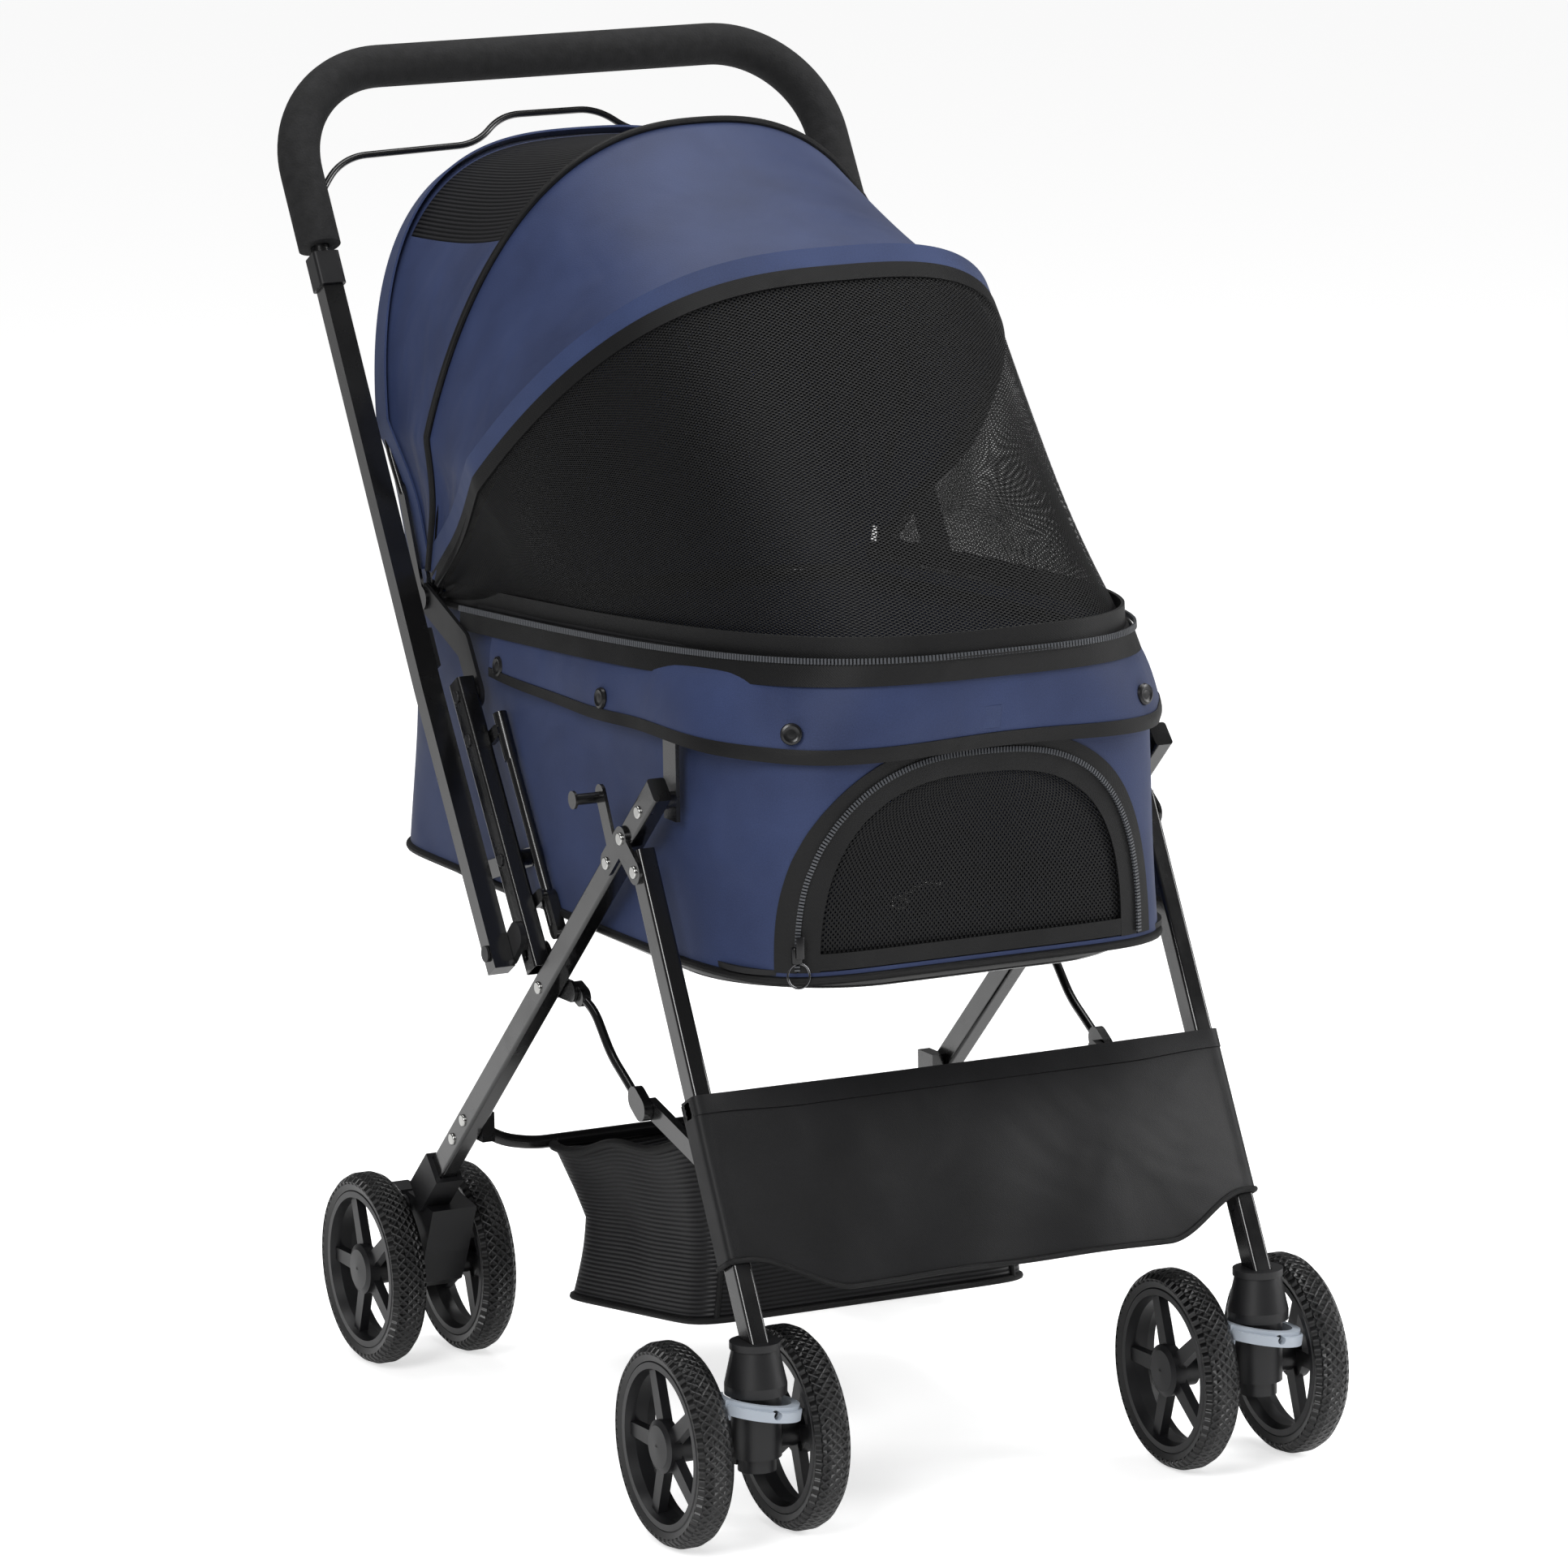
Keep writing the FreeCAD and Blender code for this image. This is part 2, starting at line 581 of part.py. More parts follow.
# ---------------------------------------------------------------- stay tubes
def stay_part(low, high, radius):
    ends = [Vector(186.8, p.y, p.z) for p in (on_post(low, 19.5), on_post(high, 20.8))]
    return round_rod(Part.Wire([Part.LineSegment(*ends).toShape()]), radius)


stay = stay_part(14, 180, 4.2).fuse([
    stay_part(144, 181, 5.2),
    bar_x(183, 190.2, on_post(10, 19.5), on_post(34, 19.6), 7),
    bar_x(189, leg_inner, on_post(38, 18), on_post(38, 6), 5),
    bar_x(189, leg_inner, on_post(168, 18), on_post(168, 4), 5)]).removeSplitter()
group("stay_tubes", both_sides(stay))

# ---------------------------------------------------------------- handle
handle_low = dim("handleX") - dim("handleThickness") / 2
handle_high = dim("handleX") + dim("handleThickness") / 2
bar = Vector(0, dim("barY"), dim("barZ"))
upper_way = (bar - handle_bend).normalize()
lower_way = (handle_bend - handle_pivot).normalize()
handle_normal = Vector(1, 0, 0).cross(upper_way)
tube_end = handle_pivot - lower_way * 14


def on_handle(along, x=0.0, normal=0.0):
    """A place along the upper handle from its bend towards the bar."""
    return handle_bend + upper_way * along + Vector(x, 0, 0) + handle_normal * normal


bar_along = (bar - handle_bend).Length
corner = dim("barCornerRadius")


def handle_u(bottom_along, radius):
    """The U of the upper handle: two sides and the bar, with round corners."""
    high = dim("handleX")
    diagonal = corner * (1 - math.sqrt(0.5))
    places = [
        on_handle(bottom_along, -high), on_handle(bar_along - corner, -high),
        on_handle(bar_along - diagonal, -high + diagonal), on_handle(bar_along, -high + corner),
        on_handle(bar_along, high - corner), on_handle(bar_along - diagonal, high - diagonal),
        on_handle(bar_along - corner, high), on_handle(bottom_along, high)]
    way = Part.Wire([
        Part.LineSegment(places[0], places[1]).toShape(),
        Part.Arc(places[1], places[2], places[3]).toShape(),
        Part.LineSegment(places[3], places[4]).toShape(),
        Part.Arc(places[4], places[5], places[6]).toShape(),
        Part.LineSegment(places[6], places[7]).toShape()])
    return round_rod(way, radius)


grip_start = 353.0
lower_normal = Vector(1, 0, 0).cross(lower_way)


def handle_side(side, inset):
    """One side of the handle, below and above its bend; inset makes the hollow inside."""
    half_x, half_deep = dim("handleThickness") / 2 - inset, dim("handleDepth") / 2 - inset
    x = side * dim("handleX")
    foot = tube_end + lower_way * (2 * inset)
    top = 336 - 2 * inset
    outline = [
        foot - lower_normal * half_deep, on_handle(0, 0, -half_deep), on_handle(top, 0, -half_deep),
        on_handle(top, 0, half_deep), on_handle(0, 0, half_deep), foot + lower_normal * half_deep]
    return prism_x(x - half_x, x + half_x, [(p.y, p.z) for p in outline])


handle_wall = 1.5
handle_frame = handle_u(330, 7.4).fuse([handle_side(side, 0) for side in (-1, 1)]).removeSplitter()
handle_frame = handle_frame.cut([handle_side(side, handle_wall) for side in (-1, 1)])
pivot_bore = rod_x(-260, 260, handle_pivot, 4 + dim("runningFit"))
handle_frame = handle_frame.cut(pivot_bore)
solid_feature("handle_frame", handle_frame)

grip = handle_u(grip_start, dim("gripRadius")).cut(handle_u(grip_start - 5, 7.4))
solid_feature("foam_grip", grip)

collars = []
lever_x, lever_rise = dim("handleX") - 12, -14.8


def handle_rod(x, normal, low, high, radius):
    """A round bar along the upper handle."""
    ends = [on_handle(low, x, normal), on_handle(high, x, normal)]
    return round_rod(Part.Wire([Part.LineSegment(*ends).toShape()]), radius)


for side in (-1, 1):
    x = side * dim("handleX")
    corners = [on_handle(low, 0, n) for low, n in ((320, -10), (346, -10), (346, 10), (320, 10))]
    sleeve_block = prism_x(x - 10.5, x + 10.5, [(p.y, p.z) for p in corners])
    sleeve_edges = [edge for edge in sleeve_block.Edges if edge.Length > 25]
    sleeve_block = sleeve_block.makeFillet(3, sleeve_edges)
    sleeve_block = sleeve_block.fuse(handle_rod(side * lever_x, lever_rise, 322, 344, 5.8))
    corners = [on_handle(low, 0, n) for low, n in ((310, -7.5), (336, -7.5), (336, 7.5), (310, 7.5))]
    hollow = prism_x(x - 8, x + 8, [(p.y, p.z) for p in corners])
    hollow = hollow.fuse(handle_rod(x, 0, 335, 350, 7.4))
    wire_hole = handle_rod(side * lever_x, lever_rise, 300, 352, dim("leverRadius") + 0.05)
    collars.append(sleeve_block.cut(hollow).cut(wire_hole))
group("handle_collars", collars)

# pivot blocks between the posts' feet and the handle
pivot_block = bar_x(leg_outer, handle_low - 0.3, on_post(16), handle_pivot, 10).fuse(
    rod_x(handle_low - 1, handle_high + 1, handle_pivot, 4)).fuse(
    rod_x(handle_high + 0.3, handle_high + 2, handle_pivot, 6)).removeSplitter()
post_rivets = [button(on_post(along), leg_outer, 1) for along in (75, 170, 205)]
post_fittings = both_sides(pivot_block)
for rivet in post_rivets:
    post_fittings += both_sides(rivet)
group("post_fittings", post_fittings)

# release lever: a bent wire that crosses the handle under the bar
lever_places = [
    on_handle(322, -lever_x, lever_rise), on_handle(395, -lever_x, lever_rise),
    on_handle(430, -178, lever_rise), on_handle(433, -66, lever_rise),
    on_handle(455, -40, lever_rise), on_handle(455, 40, lever_rise),
    on_handle(433, 66, lever_rise), on_handle(430, 178, lever_rise),
    on_handle(395, lever_x, lever_rise), on_handle(322, lever_x, lever_rise)]
solid_feature("release_lever", round_rod(rounded_path(lever_places), dim("leverRadius")))

# sliding latches on the inner faces of the handle tubes
latch = prism_x(handle_low - 3.6, handle_low - 0.3, [
    (p.y, p.z) for p in (
        on_handle(14, 0, -6.5), on_handle(44, 0, -6.5), on_handle(44, 0, 6.5), on_handle(14, 0, 6.5))])
group("latch_slides", both_sides(latch))

# ---------------------------------------------------------------- carriage
rim_slope = math.cos(math.radians(dim("hemAngle")))
half_width = dim("trayHalfWidth")


def rim_height(y):
    return hood_pivot.z - 5 + (hood_pivot.y - y) * rim_slope


def tray_outline(share, grow, lift=0.0):
    """The carriage's outline at a share of its height, grown outwards."""
    front = dim("trayFrontY") + share * (dim("rimFrontY") - dim("trayFrontY")) - grow
    rear = dim("trayRearY") + share * (dim("rimRearY") - dim("trayRearY")) + grow
    wide = half_width + grow
    front_round, rear_round = 62 + 40 * share + grow, 55 + grow

    def place(x, y):
        low = dim("trayFloorZ")
        return Vector(x, y, low + share * (rim_height(y) - low) + lift)

    def arc(corner_x, corner_y, radius):
        """Start, middle and end of a rounded corner."""
        sx = 1 if corner_x > 0 else -1
        sy = 1 if corner_y > 0 else -1
        inset = radius * (1 - math.sqrt(0.5))
        return (place(corner_x, corner_y - sy * radius),
                place(corner_x - sx * inset, corner_y - sy * inset),
                place(corner_x - sx * radius, corner_y))

    rear_left = arc(-wide, rear, rear_round)
    front_left = arc(-wide, front, front_round)
    front_right = arc(wide, front, front_round)
    rear_right = arc(wide, rear, rear_round)
    edges = [
        Part.LineSegment(rear_left[0], front_left[0]).toShape(),
        Part.Arc(*front_left).toShape(),
        Part.LineSegment(front_left[2], front_right[2]).toShape(),
        Part.Arc(*reversed(front_right)).toShape(),
        Part.LineSegment(front_right[0], rear_right[0]).toShape(),
        Part.Arc(*rear_right).toShape(),
        Part.LineSegment(rear_right[2], rear_left[2]).toShape(),
        Part.Arc(*reversed(rear_left)).toShape()]
    return Part.Wire(edges)


def tray_solid(grow, low_share, high_share, lift_low=0.0, lift_high=0.0):
    rings = [tray_outline(low_share, grow, lift_low), tray_outline(high_share, grow, lift_high)]
    return Part.makeLoft(rings, True, True)


wall = dim("fabric")
carriage = tray_solid(0, 0, 1).cut(tray_solid(-wall, 0, 1.02, lift_low=wall))

door_half, door_top, door_bottom = 128, 540, 396


def arch(grow, y_low, y_high):
    """The front door's arched outline, pulled along Y."""
    half, top, bottom = door_half + grow, door_top + grow, door_bottom - grow
    shoulder = 440
    ring = [
        Vector(-half, y_low, bottom), Vector(-half, y_low, shoulder),
        Vector(-half * 0.74, y_low, top - 22), Vector(0, y_low, top),
        Vector(half * 0.74, y_low, top - 22), Vector(half, y_low, shoulder), Vector(half, y_low, bottom)]
    edges = [
        Part.LineSegment(ring[0], ring[1]).toShape(), Part.Arc(ring[1], ring[2], ring[3]).toShape(),
        Part.Arc(ring[3], ring[4], ring[5]).toShape(), Part.LineSegment(ring[5], ring[6]).toShape(),
        Part.LineSegment(ring[6], ring[0]).toShape()]
    return Part.Face(Part.Wire(edges)).extrude(Vector(0, y_high - y_low, 0))


front_wall = carriage.common(block(-170, 170, -400, -290, 380, 640))
door = front_wall.common(arch(-0.5, -400, -290))
carriage = carriage.cut(arch(0, -400, -290))
solid_feature("carriage_body", carriage)
solid_feature("front_door", door)

apron = tray_solid(6.8, 0.78, 0.985).cut(tray_solid(4.4, 0.7, 1.05))
apron = apron.common(block(-220, 220, -400, 80, 400, 700))
solid_feature("apron_flap", apron)

board = Part.Face(tray_outline(0, -wall - 6, 3)).extrude(Vector(0, 0, 4))
solid_feature("base_board", board)
cushion = Part.Face(tray_outline(0, -wall - 12, 7.2)).extrude(Vector(0, 0, 24))
cushion = cushion.makeFillet(8, [e for e in cushion.Edges if e.CenterOfMass.z > dim("trayFloorZ") + 30])
solid_feature("cabin_cushion", cushion)

# tube round the rim, inside the wall, and the straps that hang it on the rear legs
rim_tube_radius = 4.5


rim_inset = wall + rim_tube_radius + 2.2


def rim_line(count):
    """Evenly spaced points along a rounder line inside the rim: long flat curves into the front."""
    middle = hood_pivot.y
    half = half_width - 2 - rim_inset
    ahead = middle - dim("rimFrontY") - 4 - rim_inset
    behind = dim("rimRearY") - middle - rim_inset
    dense = []
    for step in range(1440):
        turn = math.radians(step / 4)
        c, s = math.cos(turn), math.sin(turn)
        power = 4.2 if s > 0 else 3.4
        x = half * math.copysign(abs(c) ** (2 / power), c)
        y = middle + (behind if s > 0 else ahead) * math.copysign(abs(s) ** (2 / power), s)
        dense.append(Vector(x, y, rim_height(y) - 10))
    reach = [0.0]
    for here, there in zip(dense, dense[1:] + dense[:1]):
        reach.append(reach[-1] + (there - here).Length)
    points, index = [], 0
    for step in range(count):
        while reach[index + 1] <= reach[-1] * step / count:
            index += 1
        points.append(dense[index])
    return points


rim_curve = Part.BSplineCurve()
rim_curve.interpolate(Points=rim_line(44), PeriodicFlag=True)
rim_ring = Part.Wire([rim_curve.toShape()])
rim_tube = round_rod(rim_ring, rim_tube_radius)
strap_low, strap_high = half_width + 0.6, half_width + 3.6
strap = block(strap_low, strap_high, -213, -193, 488, 553).fuse(
    rod_x(strap_high, leg_inner, on_rear_leg(246), 6))
group("rim_frame", [rim_tube] + both_sides(strap))

# tube loop under the floor and the flat links that hang it on the posts
base_z = dim("trayFloorZ") - 7
base_ring = rounded_path([
    Vector(-166, -150, base_z), Vector(-164, -238, base_z), Vector(-104, -302, base_z),
    Vector(104, -302, base_z), Vector(164, -238, base_z), Vector(166, -150, base_z),
    Vector(166, 100, base_z), Vector(166, 214, base_z), Vector(120, 262, base_z),
    Vector(-120, 262, base_z), Vector(-166, 214, base_z), Vector(-166, 100, base_z)], closed=True)
base_tube = round_rod(base_ring, 5)
base_link = bar_x(strap_low, strap_high, on_post(75), point(134, 388), 7).fuse([
    rod_x(171, strap_high, point(134, 381), 4),
    rod_x(strap_high, leg_inner, on_post(75), 6)]).cut(base_tube)
base_link = max(base_link.Solids, key=lambda solid: solid.Volume)
group("base_frame", [base_tube] + both_sides(base_link))

# ---------------------------------------------------------------- hood
hinge_low = leg_inner - 4
hinge = bar_x(hinge_low, leg_inner - 1, on_post(207), on_post(245), 11)
hinge = hinge.fuse([
    bar_x(hinge_low, leg_inner - 1, on_post(245), hood_pivot, 11),
    rod_x(leg_inner - 1, leg_inner, on_post(207), 7),
    rod_x(half_width + 0.6, hinge_low + 0.5, hood_pivot, 4)]).removeSplitter()
group("hood_hinges", both_sides(hinge))


def hood_point(angle, reach, x, swing=0.0):
    """A place in the hood: reach from the pivot line, at an angle from upright to the front."""
    turn = math.radians(angle)
    out = Vector(0, -math.sin(turn), math.cos(turn))
    along = Vector(0, -math.cos(turn), -math.sin(turn))
    return hood_pivot + out * reach + along * swing + Vector(x, 0, 0)


ARM_END = 84


def bow_x(reach, height, power, wide, x_mid):
    """Half width of a bow at a reach: it leaves its flat arm and opens to a superellipse."""
    if reach >= height:
        return 0.0
    widest = wide * (1 - (reach / height) ** power) ** (1 / power)
    share = max(0.0, min(1.0, (reach - ARM_END + 4) / (0.5 * height - ARM_END + 4)))
    opening = x_mid + (wide - x_mid) * share * share * (3 - 2 * share)
    return min(widest, opening)


def bow(name, angle, height, power, wide, x_low, thickness, hub=True):
    x_mid = x_low + thickness / 2
    flat = []
    for side in (-1, 1):
        along = hood_point(angle, ARM_END, 0) - hood_pivot
        low = x_low if side > 0 else -x_low - thickness
        arm = bar_x(low, low + thickness, hood_pivot, hood_pivot + along, 5)
        arm = arm.fuse(rod_x(low, low + thickness, hood_pivot, 9))
        if hub:
            arm = arm.cut(rod_x(low - 1, low + thickness + 1, hood_pivot, 4 + dim("runningFit")))
        flat.append(arm)
    reaches = [ARM_END - 4, 125] + [share * height for share in (0.5, 0.68, 0.82, 0.92, 0.98)]
    side_points = [(bow_x(reach, height, power, wide, x_mid), reach) for reach in reaches]
    places = [hood_point(angle, reach, -x) for x, reach in side_points]
    places += [hood_point(angle, height, 0)]
    places += [hood_point(angle, reach, x) for x, reach in reversed(side_points)]
    rod = round_rod(rounded_path(places), dim("bowRadius"))
    return solid_feature(name, rod.fuse(flat).removeSplitter())


hood_width = dim("hoodHalfWidth")
# angle, height, roundness, half width, inner face of its arm, thickness of its arm
REAR_BOW = (-23, 341, 2.8, hood_width, leg_inner - 1, 2.4)
MID_BOW = (13.5, 354, 2.4, hood_width, 186.3, 2.4)
FRONT_BOW = (50, 402, 2.9, hood_width, 183.6, 2.4)
HEM = (dim("hemAngle"), dim("hemReach"), 3.3, 182, 181, 2.3)
bow("rear_bow", *REAR_BOW, hub=False)
bow("mid_bow", *MID_BOW)
bow("front_bow", *FRONT_BOW)
bow("windshield_hem", *HEM)

def panel(name, low_bow, high_bow):
    """A cloth panel between two bows, kept clear of their rods."""
    def edge_line(values, swing, shrink):
        angle, height, power, wide, x_low, thickness = values
        places = []
        for step in range(17):
            turn = math.pi * step / 16
            reach = (ARM_END + 8 + (height - ARM_END - 8) * math.sin(turn) ** 0.8) - shrink
            half = bow_x(reach + shrink, height, power, wide, x_low + thickness / 2) - shrink
            if step == 8:
                half = 0.0
            places.append(hood_point(angle, reach, half if step > 8 else -half, swing))
        curve = Part.BSplineCurve()
        curve.interpolate(places)
        return curve.toShape()

    gap = dim("bowRadius") + 0.8
    outer_low, inner_low = edge_line(low_bow, gap, 0), edge_line(low_bow, gap, 1.5)
    outer_high, inner_high = edge_line(high_bow, -gap, 0), edge_line(high_bow, -gap, 1.5)
    faces = [
        Part.makeRuledSurface(outer_low, outer_high), Part.makeRuledSurface(inner_low, inner_high),
        Part.makeRuledSurface(outer_low, inner_low), Part.makeRuledSurface(outer_high, inner_high)]
    for end in (0, 1):
        corners = [edge.Vertexes[-end].Point for edge in (outer_low, outer_high, inner_low, inner_high)]
        outer_edge = Part.LineSegment(corners[0], corners[1]).toShape()
        inner_edge = Part.LineSegment(corners[2], corners[3]).toShape()
        faces.append(Part.makeRuledSurface(outer_edge, inner_edge))
    shell = Part.makeShell([face for shape in faces for face in shape.Faces])
    shell.sewShape()
    solid = Part.makeSolid(shell)
    if solid.Volume < 0:
        solid.reverse()
    return solid_feature(name, solid)


panel("hood_rear_panel", REAR_BOW, MID_BOW)
panel("hood_front_panel", MID_BOW, FRONT_BOW)
panel("windshield_mesh", FRONT_BOW, HEM)

# ---------------------------------------------------------------- basket
def basket_ring(half, front, rear, front_z, rear_z, round_off, grow=0.0, lift=0.0):
    half, front, rear = half + grow, front - grow, rear + grow
    slope = (rear_z - front_z) / (rear - front)
    corners = [(-half, rear), (-half, front), (half, front), (half, rear)]
    edges = []
    last = None
    first = None
    for index, (x, y) in enumerate(corners):
        before, after = corners[index - 1], corners[(index + 1) % 4]
        here = Vector(x, y, 0)
        back = (Vector(*before, 0) - here).normalize()
        ahead = (Vector(*after, 0) - here).normalize()
        inset = round_off * (1 - math.sqrt(0.5))
        stops = [here + back * round_off, here + (back + ahead) * inset, here + ahead * round_off]
        stops = [Vector(s.x, s.y, front_z + slope * (s.y - front) + lift) for s in stops]
        if last:
            edges.append(Part.LineSegment(last, stops[0]).toShape())
        else:
            first = stops[0]
        edges.append(Part.Arc(*stops).toShape())
        last = stops[2]
    edges.append(Part.LineSegment(last, first).toShape())
    return Part.Wire(edges)


def basket_solid(grow, lift_low, lift_high):
    low = basket_ring(134, -140, 95, 102, 72, 30, grow, lift_low)
    high = basket_ring(146, -150, 104, 244, 184, 30, grow, lift_high)
    return Part.makeLoft([low, high], True, True)


basket = basket_solid(0, 0, 0).cut(basket_solid(-2.2, 2.2, 3))
solid_feature("storage_basket", basket)
basket_tube = rounded_path([
    Vector(-188, 118, 199), Vector(-172, 114, 190), Vector(-150, 109, 186), Vector(-60, 109, 186),
    Vector(60, 109, 186), Vector(150, 109, 186), Vector(172, 114, 190), Vector(188, 118, 199)])
clip = block(183, leg_inner, 106, 130, 192, 214).cut(round_rod(basket_tube, 5))
clip = max(clip.Solids, key=lambda solid: solid.Volume)
group("basket_frame", [round_rod(basket_tube, 5)] + both_sides(clip))

# ---------------------------------------------------------------- check and write
doc.recompute()
for thing in doc.Objects:
    if "Invalid" in thing.State or "Error" in thing.State:
        raise RuntimeError("failed object: " + thing.Label)
for name, thing in subparts.items():
    shape = thing.Shape
    if shape.isNull() or not shape.isValid() or shape.Volume <= 0:
        raise RuntimeError("bad shape: " + name)
    shape.exportStep("parts/%s.step" % name)
box = Part.makeCompound([thing.Shape for thing in subparts.values()]).BoundBox
print(len(subparts), "sub-parts; box", [round(v, 1) for v in (
    box.XMin, box.XMax, box.YMin, box.YMax, box.ZMin, box.ZMax)])
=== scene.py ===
import math

import bmesh
import bpy
from mathutils import Matrix, Vector


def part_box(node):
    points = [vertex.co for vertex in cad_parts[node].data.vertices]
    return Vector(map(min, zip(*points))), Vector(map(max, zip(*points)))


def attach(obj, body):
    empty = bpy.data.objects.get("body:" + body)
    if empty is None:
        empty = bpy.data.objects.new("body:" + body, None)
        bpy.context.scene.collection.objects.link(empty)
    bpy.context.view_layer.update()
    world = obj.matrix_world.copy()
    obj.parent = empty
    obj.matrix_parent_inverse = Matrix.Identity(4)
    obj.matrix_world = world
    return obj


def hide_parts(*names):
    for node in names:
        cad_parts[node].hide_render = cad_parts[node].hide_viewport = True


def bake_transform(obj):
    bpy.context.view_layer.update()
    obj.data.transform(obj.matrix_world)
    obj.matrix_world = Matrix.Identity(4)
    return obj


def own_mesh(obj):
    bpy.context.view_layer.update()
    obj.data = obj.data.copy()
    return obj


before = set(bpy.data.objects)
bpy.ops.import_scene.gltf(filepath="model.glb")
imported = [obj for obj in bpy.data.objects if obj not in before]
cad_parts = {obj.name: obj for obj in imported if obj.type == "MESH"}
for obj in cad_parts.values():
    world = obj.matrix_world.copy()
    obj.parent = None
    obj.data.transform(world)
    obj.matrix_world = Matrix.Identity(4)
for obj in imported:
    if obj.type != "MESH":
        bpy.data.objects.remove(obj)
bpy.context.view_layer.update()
print("frame loaded:", len(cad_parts), "nodes")

# ---- colours and nodes
def linear(hexCode, alpha=1.0):
    values = [int(hexCode[i:i + 2], 16) / 255 for i in (0, 2, 4)]
    return tuple(v / 12.92 if v <= 0.04045 else ((v + 0.055) / 1.055) ** 2.4 for v in values) + (alpha,)


def addNode(tree, kind, sockets=None, **settings):
    node = tree.nodes.new("ShaderNode" + kind)
    for key, value in settings.items():
        setattr(node, key, value)
    for key, value in (sockets or {}).items():
        if isinstance(value, bpy.types.NodeSocket):
            tree.links.new(value, node.inputs[key])
        else:
            node.inputs[key].default_value = value
    return node


def newMaterial(name, **shader):
    material = bpy.data.materials.new(name)
    material.use_nodes = True
    tree = material.node_tree
    tree.nodes.clear()
    output = addNode(tree, "OutputMaterial")
    surface = addNode(tree, "BsdfPrincipled", shader)
    tree.links.new(surface.outputs[0], output.inputs[0])
    return material, tree, surface, output


def wave(tree, value, pitch, phase=0.0):
    # a sine along one coordinate, one crest every pitch metres
    scaled = addNode(tree, "Math", {0: value, 1: 2 * math.pi / pitch}, operation="MULTIPLY")
    moved = addNode(tree, "Math", {0: scaled.outputs[0], 1: phase}, operation="ADD")
    return addNode(tree, "Math", {0: moved.outputs[0]}, operation="SINE").outputs[0]


def mixColours(tree, factor, first, second):
    mix = addNode(tree, "Mix", {0: factor, 6: first, 7: second}, data_type="RGBA")
    return mix.outputs[2]


# ---- woven and knitted cloths; their UV maps are in metres
clothValues = {
    "navyOxford": dict(colour="303d63", dark="1f2948", thread=0.0011, roughness=0.6, sheen=0.05,
                       bump=0.2),
    "navyFacing": dict(colour="35436a", dark="253050", thread=0.0011, roughness=0.58, sheen=0.05,
                       bump=0.16),
    "navyLining": dict(colour="1a2340", dark="10172c", thread=0.0011, roughness=0.75, sheen=0.0, bump=0.12),
    "blackOxford": dict(colour="18181a", dark="0c0c0d", thread=0.0012, roughness=0.52, sheen=0.02, bump=0.2),
    "blackBinding": dict(colour="101011", dark="080809", thread=0.0018, roughness=0.55, sheen=0.0, bump=0.3),
}


def oxfordCloth(name):
    # polyester oxford: plain weave of flat threads, a soft satin sheen that shows the folds
    values = clothValues[name]
    material, tree, surface, output = newMaterial(
        name, **{"Roughness": values["roughness"], "Sheen Weight": values["sheen"],
                 "Sheen Roughness": 0.45, "IOR": 1.5, "Specular IOR Level": 0.3})
    place = addNode(tree, "TexCoord")
    split = addNode(tree, "SeparateXYZ", {0: place.outputs["UV"]})
    across = wave(tree, split.outputs[0], values["thread"])
    down = wave(tree, split.outputs[1], values["thread"])
    weave = addNode(tree, "Math", {0: across, 1: down}, operation="MULTIPLY")
    slub = addNode(tree, "TexNoise", {"Vector": place.outputs["UV"], "Scale": 900.0, "Detail": 3.0})
    cloud = addNode(tree, "TexNoise", {"Vector": place.outputs["UV"], "Scale": 14.0, "Detail": 3.0})
    grain = addNode(tree, "Math", {0: weave.outputs[0], 1: 0.22, 2: slub.outputs["Fac"]},
                    operation="MULTIPLY_ADD")
    shade = addNode(tree, "Math", {0: grain.outputs[0], 1: 0.7, 2: cloud.outputs["Fac"]},
                    operation="MULTIPLY_ADD")
    ramp = addNode(tree, "MapRange", {"Value": shade.outputs[0], "From Min": 0.45, "From Max": 1.25})
    colour = mixColours(tree, ramp.outputs[0], linear(values["dark"]), linear(values["colour"]))
    tree.links.new(colour, surface.inputs["Base Color"])
    crease = addNode(tree, "TexNoise", {"Vector": place.outputs["UV"], "Scale": 9.0, "Detail": 2.0,
                                        "Distortion": 0.8})
    broad = addNode(tree, "Bump", {"Height": crease.outputs["Fac"], "Strength": 0.22, "Distance": 0.02})
    bump = addNode(tree, "Bump", {"Height": grain.outputs[0], "Strength": values["bump"],
                                  "Distance": 0.0006, "Normal": broad.outputs[0]})
    tree.links.new(bump.outputs[0], surface.inputs["Normal"])
    return material


